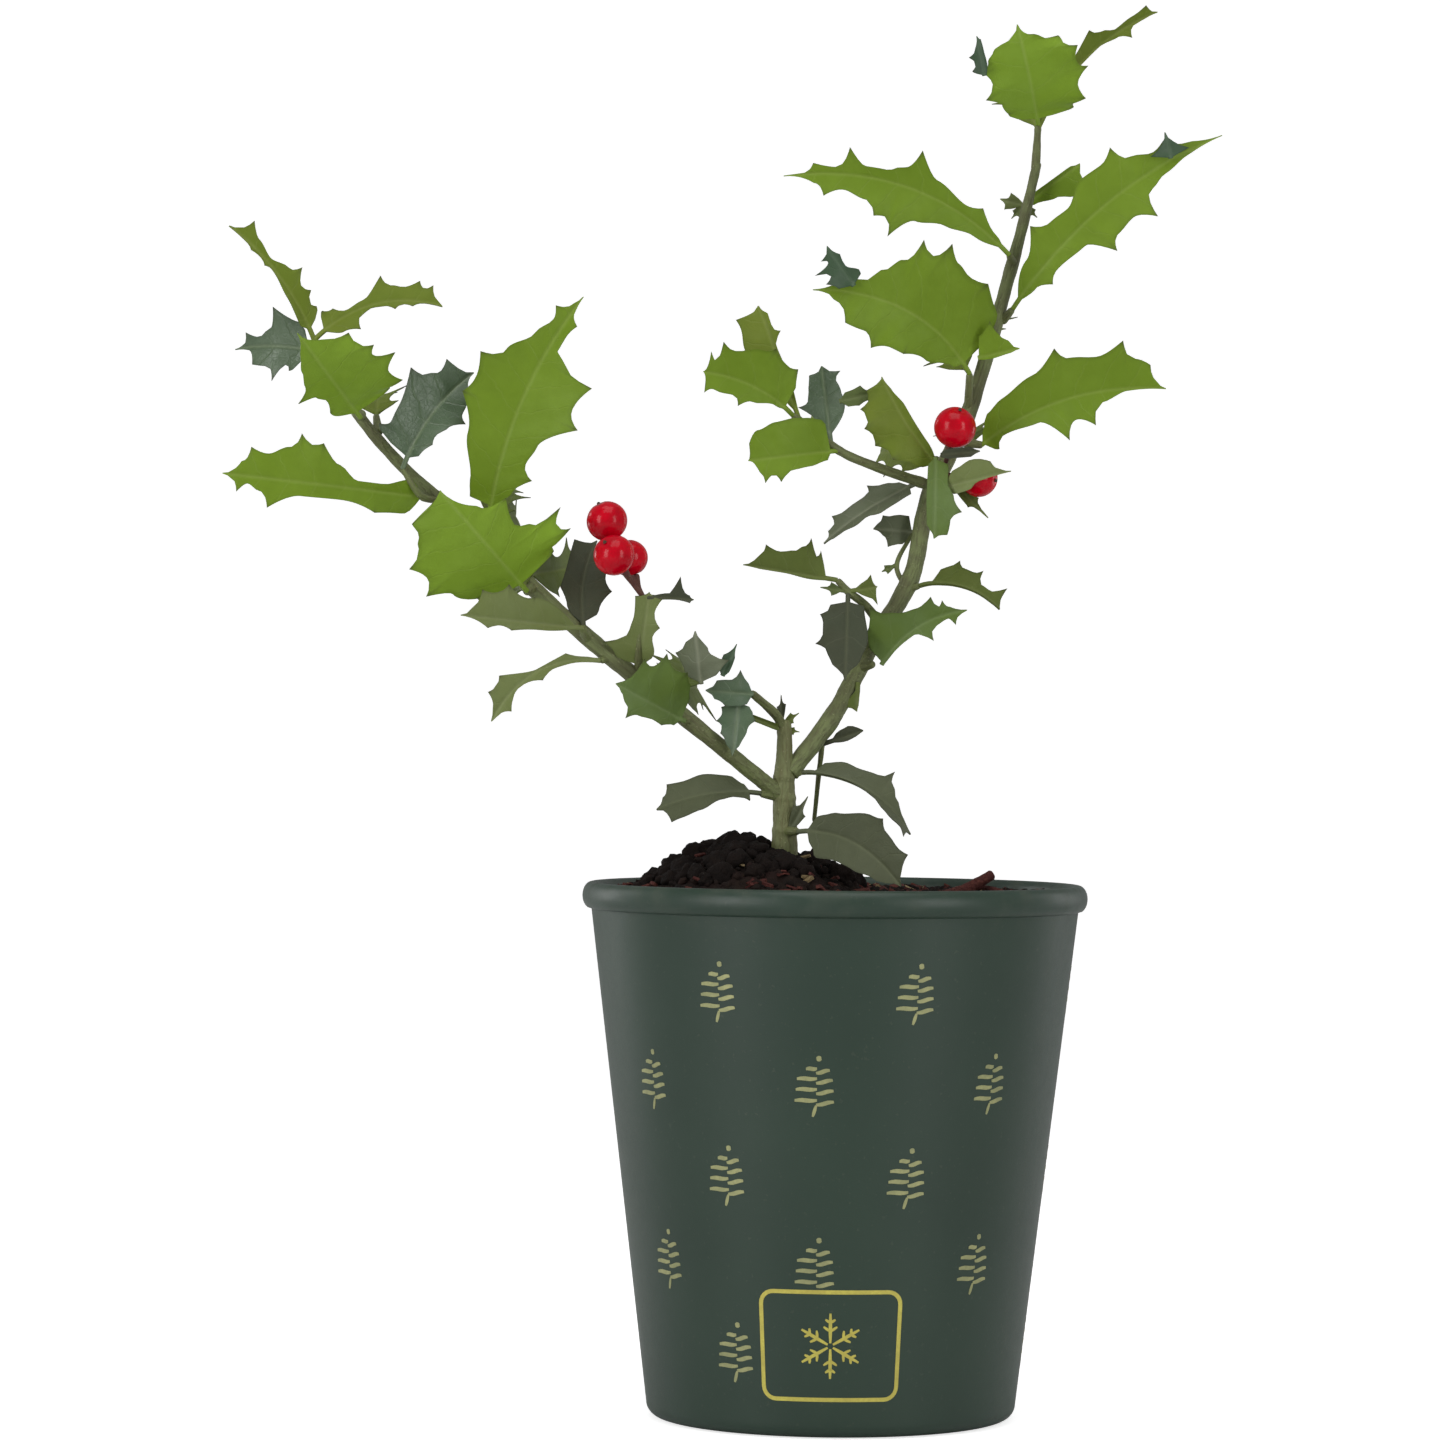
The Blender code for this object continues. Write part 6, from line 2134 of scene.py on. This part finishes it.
    def _build_bits(self) -> None:
        """Build the flakes of bark and, every few of them, a pale bit."""
        heap = Heap()
        for number in range(self.BITS):
            x, y = self._spot(self.BIT_REACH)
            if math.hypot(x - self.TRUNK_X, y) < 5.5 or math.hypot(x, y) > self.BIT_REACH:
                continue
            shape = bmesh.new()
            bmesh.ops.create_cube(shape, size=1.0)
            long = self.dice.uniform(*self.BIT_LENGTH)
            wide = self.dice.uniform(*self.BIT_WIDTH)
            tall = self.dice.uniform(*self.BIT_THICKNESS)
            turn = Matrix.Rotation(self.dice.uniform(0, math.tau), 4, "Z")
            turn @= Matrix.Rotation(self.dice.uniform(-0.5, 0.5), 4, "Y")
            turn @= Matrix.Rotation(self.dice.uniform(-0.6, 0.6), 4, "X")
            bmesh.ops.subdivide_edges(shape, edges=shape.edges, cuts=1, use_grid_fill=True)
            place = Vector((x, y, self.height(x, y) + 0.7))
            for corner in shape.verts:
                bent = Vector((corner.co.x * long, corner.co.y * wide, corner.co.z * tall))
                taper = 1 - 0.5 * abs(corner.co.x)
                bent.y *= taper
                bent += Vector((0, 0, self.BIT_BEND)) * noise.noise(bent * 0.8 + place)
                corner.co = (turn @ bent + place) * MM
            for face in shape.faces:
                face.material_index = 1 if number % self.BITS_TO_ONE_PALE == 0 else 0
            heap.add(shape)
        materials = [self.palette.get(self.red), self.palette.get(self.tan)]
        add_piece("soil_bark_bits", heap.shape, materials, sharp=40)

    def _build_sticks(self) -> None:
        """Build the two short sticks that lie on the soil at the right."""
        shape = bmesh.new()
        for route, radii, sides in self.STICKS:
            Stem(route, radii, sides, step=0.6, relief=0.16).grow(shape)
        add_piece("soil_sticks", shape, [self.palette.get(self.red)])


@dataclass(frozen=True)
class SoftBox:
    """One studio light: its place and the point it faces, its size in metres, and its power."""

    name: str
    place: tuple[float, float, float]
    aim: tuple[float, float, float]
    width: float
    height: float
    watts: float

    def build(self) -> None:
        """Add the light."""
        lamp = bpy.data.lights.new(self.name, "AREA")
        lamp.shape = "RECTANGLE"
        lamp.size = self.width
        lamp.size_y = self.height
        lamp.energy = self.watts
        thing = bpy.data.objects.new(self.name, lamp)
        thing.location = self.place
        facing = Vector(self.aim) - Vector(self.place)
        thing.rotation_euler = facing.to_track_quat("-Z", "Y").to_euler()
        bpy.context.scene.collection.objects.link(thing)


class Studio:
    """The floor and backdrop, the soft lights and the camera."""

    SOFT_BOXES = (
        SoftBox("left_box", (-0.95, -0.85, 0.42), (0.0, 0.0, 0.15), 0.45, 0.9, 6.0),
        SoftBox("right_box", (0.92, -0.92, 0.40), (0.0, 0.0, 0.15), 0.35, 0.9, 4.5),
        SoftBox("top_box", (0.0, -0.35, 1.3), (0.0, 0.0, 0.15), 0.9, 0.9, 5.0),
        SoftBox("left_edge_box", (-1.1, 0.75, 0.3), (0.0, 0.0, 0.1), 0.3, 0.9, 3.0),
        SoftBox("right_edge_box", (1.1, 0.75, 0.3), (0.0, 0.0, 0.1), 0.3, 0.9, 2.0),
    )
    AIR_LIGHT = 0.30
    CAMERA_PLACE = (-0.0277, -1.3, 0.1653)
    CAMERA_TURN = 0.5
    SENSOR = 36.0
    PHOTO_SIDE = 1440
    METRES_PER_PIXEL = 0.0002381
    FLOOR_PART = 8
    FLOOR_HALF_WIDTH = 3.0
    FLOOR_FRONT = -2.5
    FLOOR_DEPTH = 4.0
    BEND_RADIUS = 1.0
    WALL_STEP = 0.35
    FLOOR_DROP = 0.2 * MM

    def __init__(self, palette: Palette) -> None:
        """Take the materials."""
        self.palette = palette

    def build(self) -> None:
        """Build the studio."""
        self._build_floor()
        for box in self.SOFT_BOXES:
            box.build()
        world = bpy.data.worlds.new("studio_air")
        world.use_nodes = True
        graph = Graph(world.node_tree)
        seen = graph.add("ShaderNodeLightPath").outputs["Is Camera Ray"]
        air = world.node_tree.nodes["Background"]
        air.inputs[0].default_value = (1.0, 1.0, 1.0, 1.0)
        world.node_tree.links.new(graph.spread(seen, 0.0, 1.0, self.AIR_LIGHT, 1.0), air.inputs[1])
        bpy.context.scene.world = world
        bpy.context.scene.view_settings.view_transform = "Standard"
        self._build_camera()

    def _build_floor(self) -> None:
        """Build the pale floor, which curves up into the backdrop."""
        shape = bmesh.new()
        part = self.FLOOR_PART
        for corner, column, row in grid_of(shape, 2, 3 * part):
            angle = min(1.0, max(0.0, (row - part) / part)) * math.pi / 2
            flat = self.FLOOR_DEPTH * min(row, part) / part
            deep = self.FLOOR_FRONT + flat + self.BEND_RADIUS * math.sin(angle)
            high = self.BEND_RADIUS * (1 - math.cos(angle)) + max(0, row - 2 * part) * self.WALL_STEP
            corner.co = Vector(((column - 1) * self.FLOOR_HALF_WIDTH, deep, high - self.FLOOR_DROP))
        bmesh.ops.recalc_face_normals(shape, faces=shape.faces)
        mesh = bpy.data.meshes.new("studio_floor")
        shape.to_mesh(mesh)
        shape.free()
        mesh.shade_smooth()
        mesh.materials.append(self.palette.get(PlainFinish("studio_pale", (0.80, 0.80, 0.80), 0.72)))
        floor = bpy.data.objects.new("studio_floor", mesh)
        bpy.context.scene.collection.objects.link(floor)

    def _build_camera(self) -> None:
        """Set the camera where the photograph was taken from."""
        lens = bpy.data.cameras.new("view")
        lens.sensor_width = self.SENSOR
        distance = -self.CAMERA_PLACE[1]
        lens.lens = self.SENSOR * distance / (self.PHOTO_SIDE * self.METRES_PER_PIXEL)
        camera = bpy.data.objects.new("view", lens)
        turn = Matrix.Rotation(math.radians(90), 4, "X")
        turn @= Matrix.Rotation(math.radians(self.CAMERA_TURN), 4, "Z")
        camera.matrix_world = Matrix.Translation(self.CAMERA_PLACE) @ turn
        bpy.context.scene.collection.objects.link(camera)
        bpy.context.scene.camera = camera


def main() -> None:
    """Build the plant in its pot and the studio round it."""
    logging.basicConfig(level=logging.INFO, format="%(name)s %(message)s")
    palette = Palette(Effects())
    pot = Pot(palette)
    pot.build()
    Soil(palette, pot.sizes).build()
    Wood(palette).build()
    Foliage(palette).build()
    Studio(palette).build()


if __name__ == "__main__":
    main()
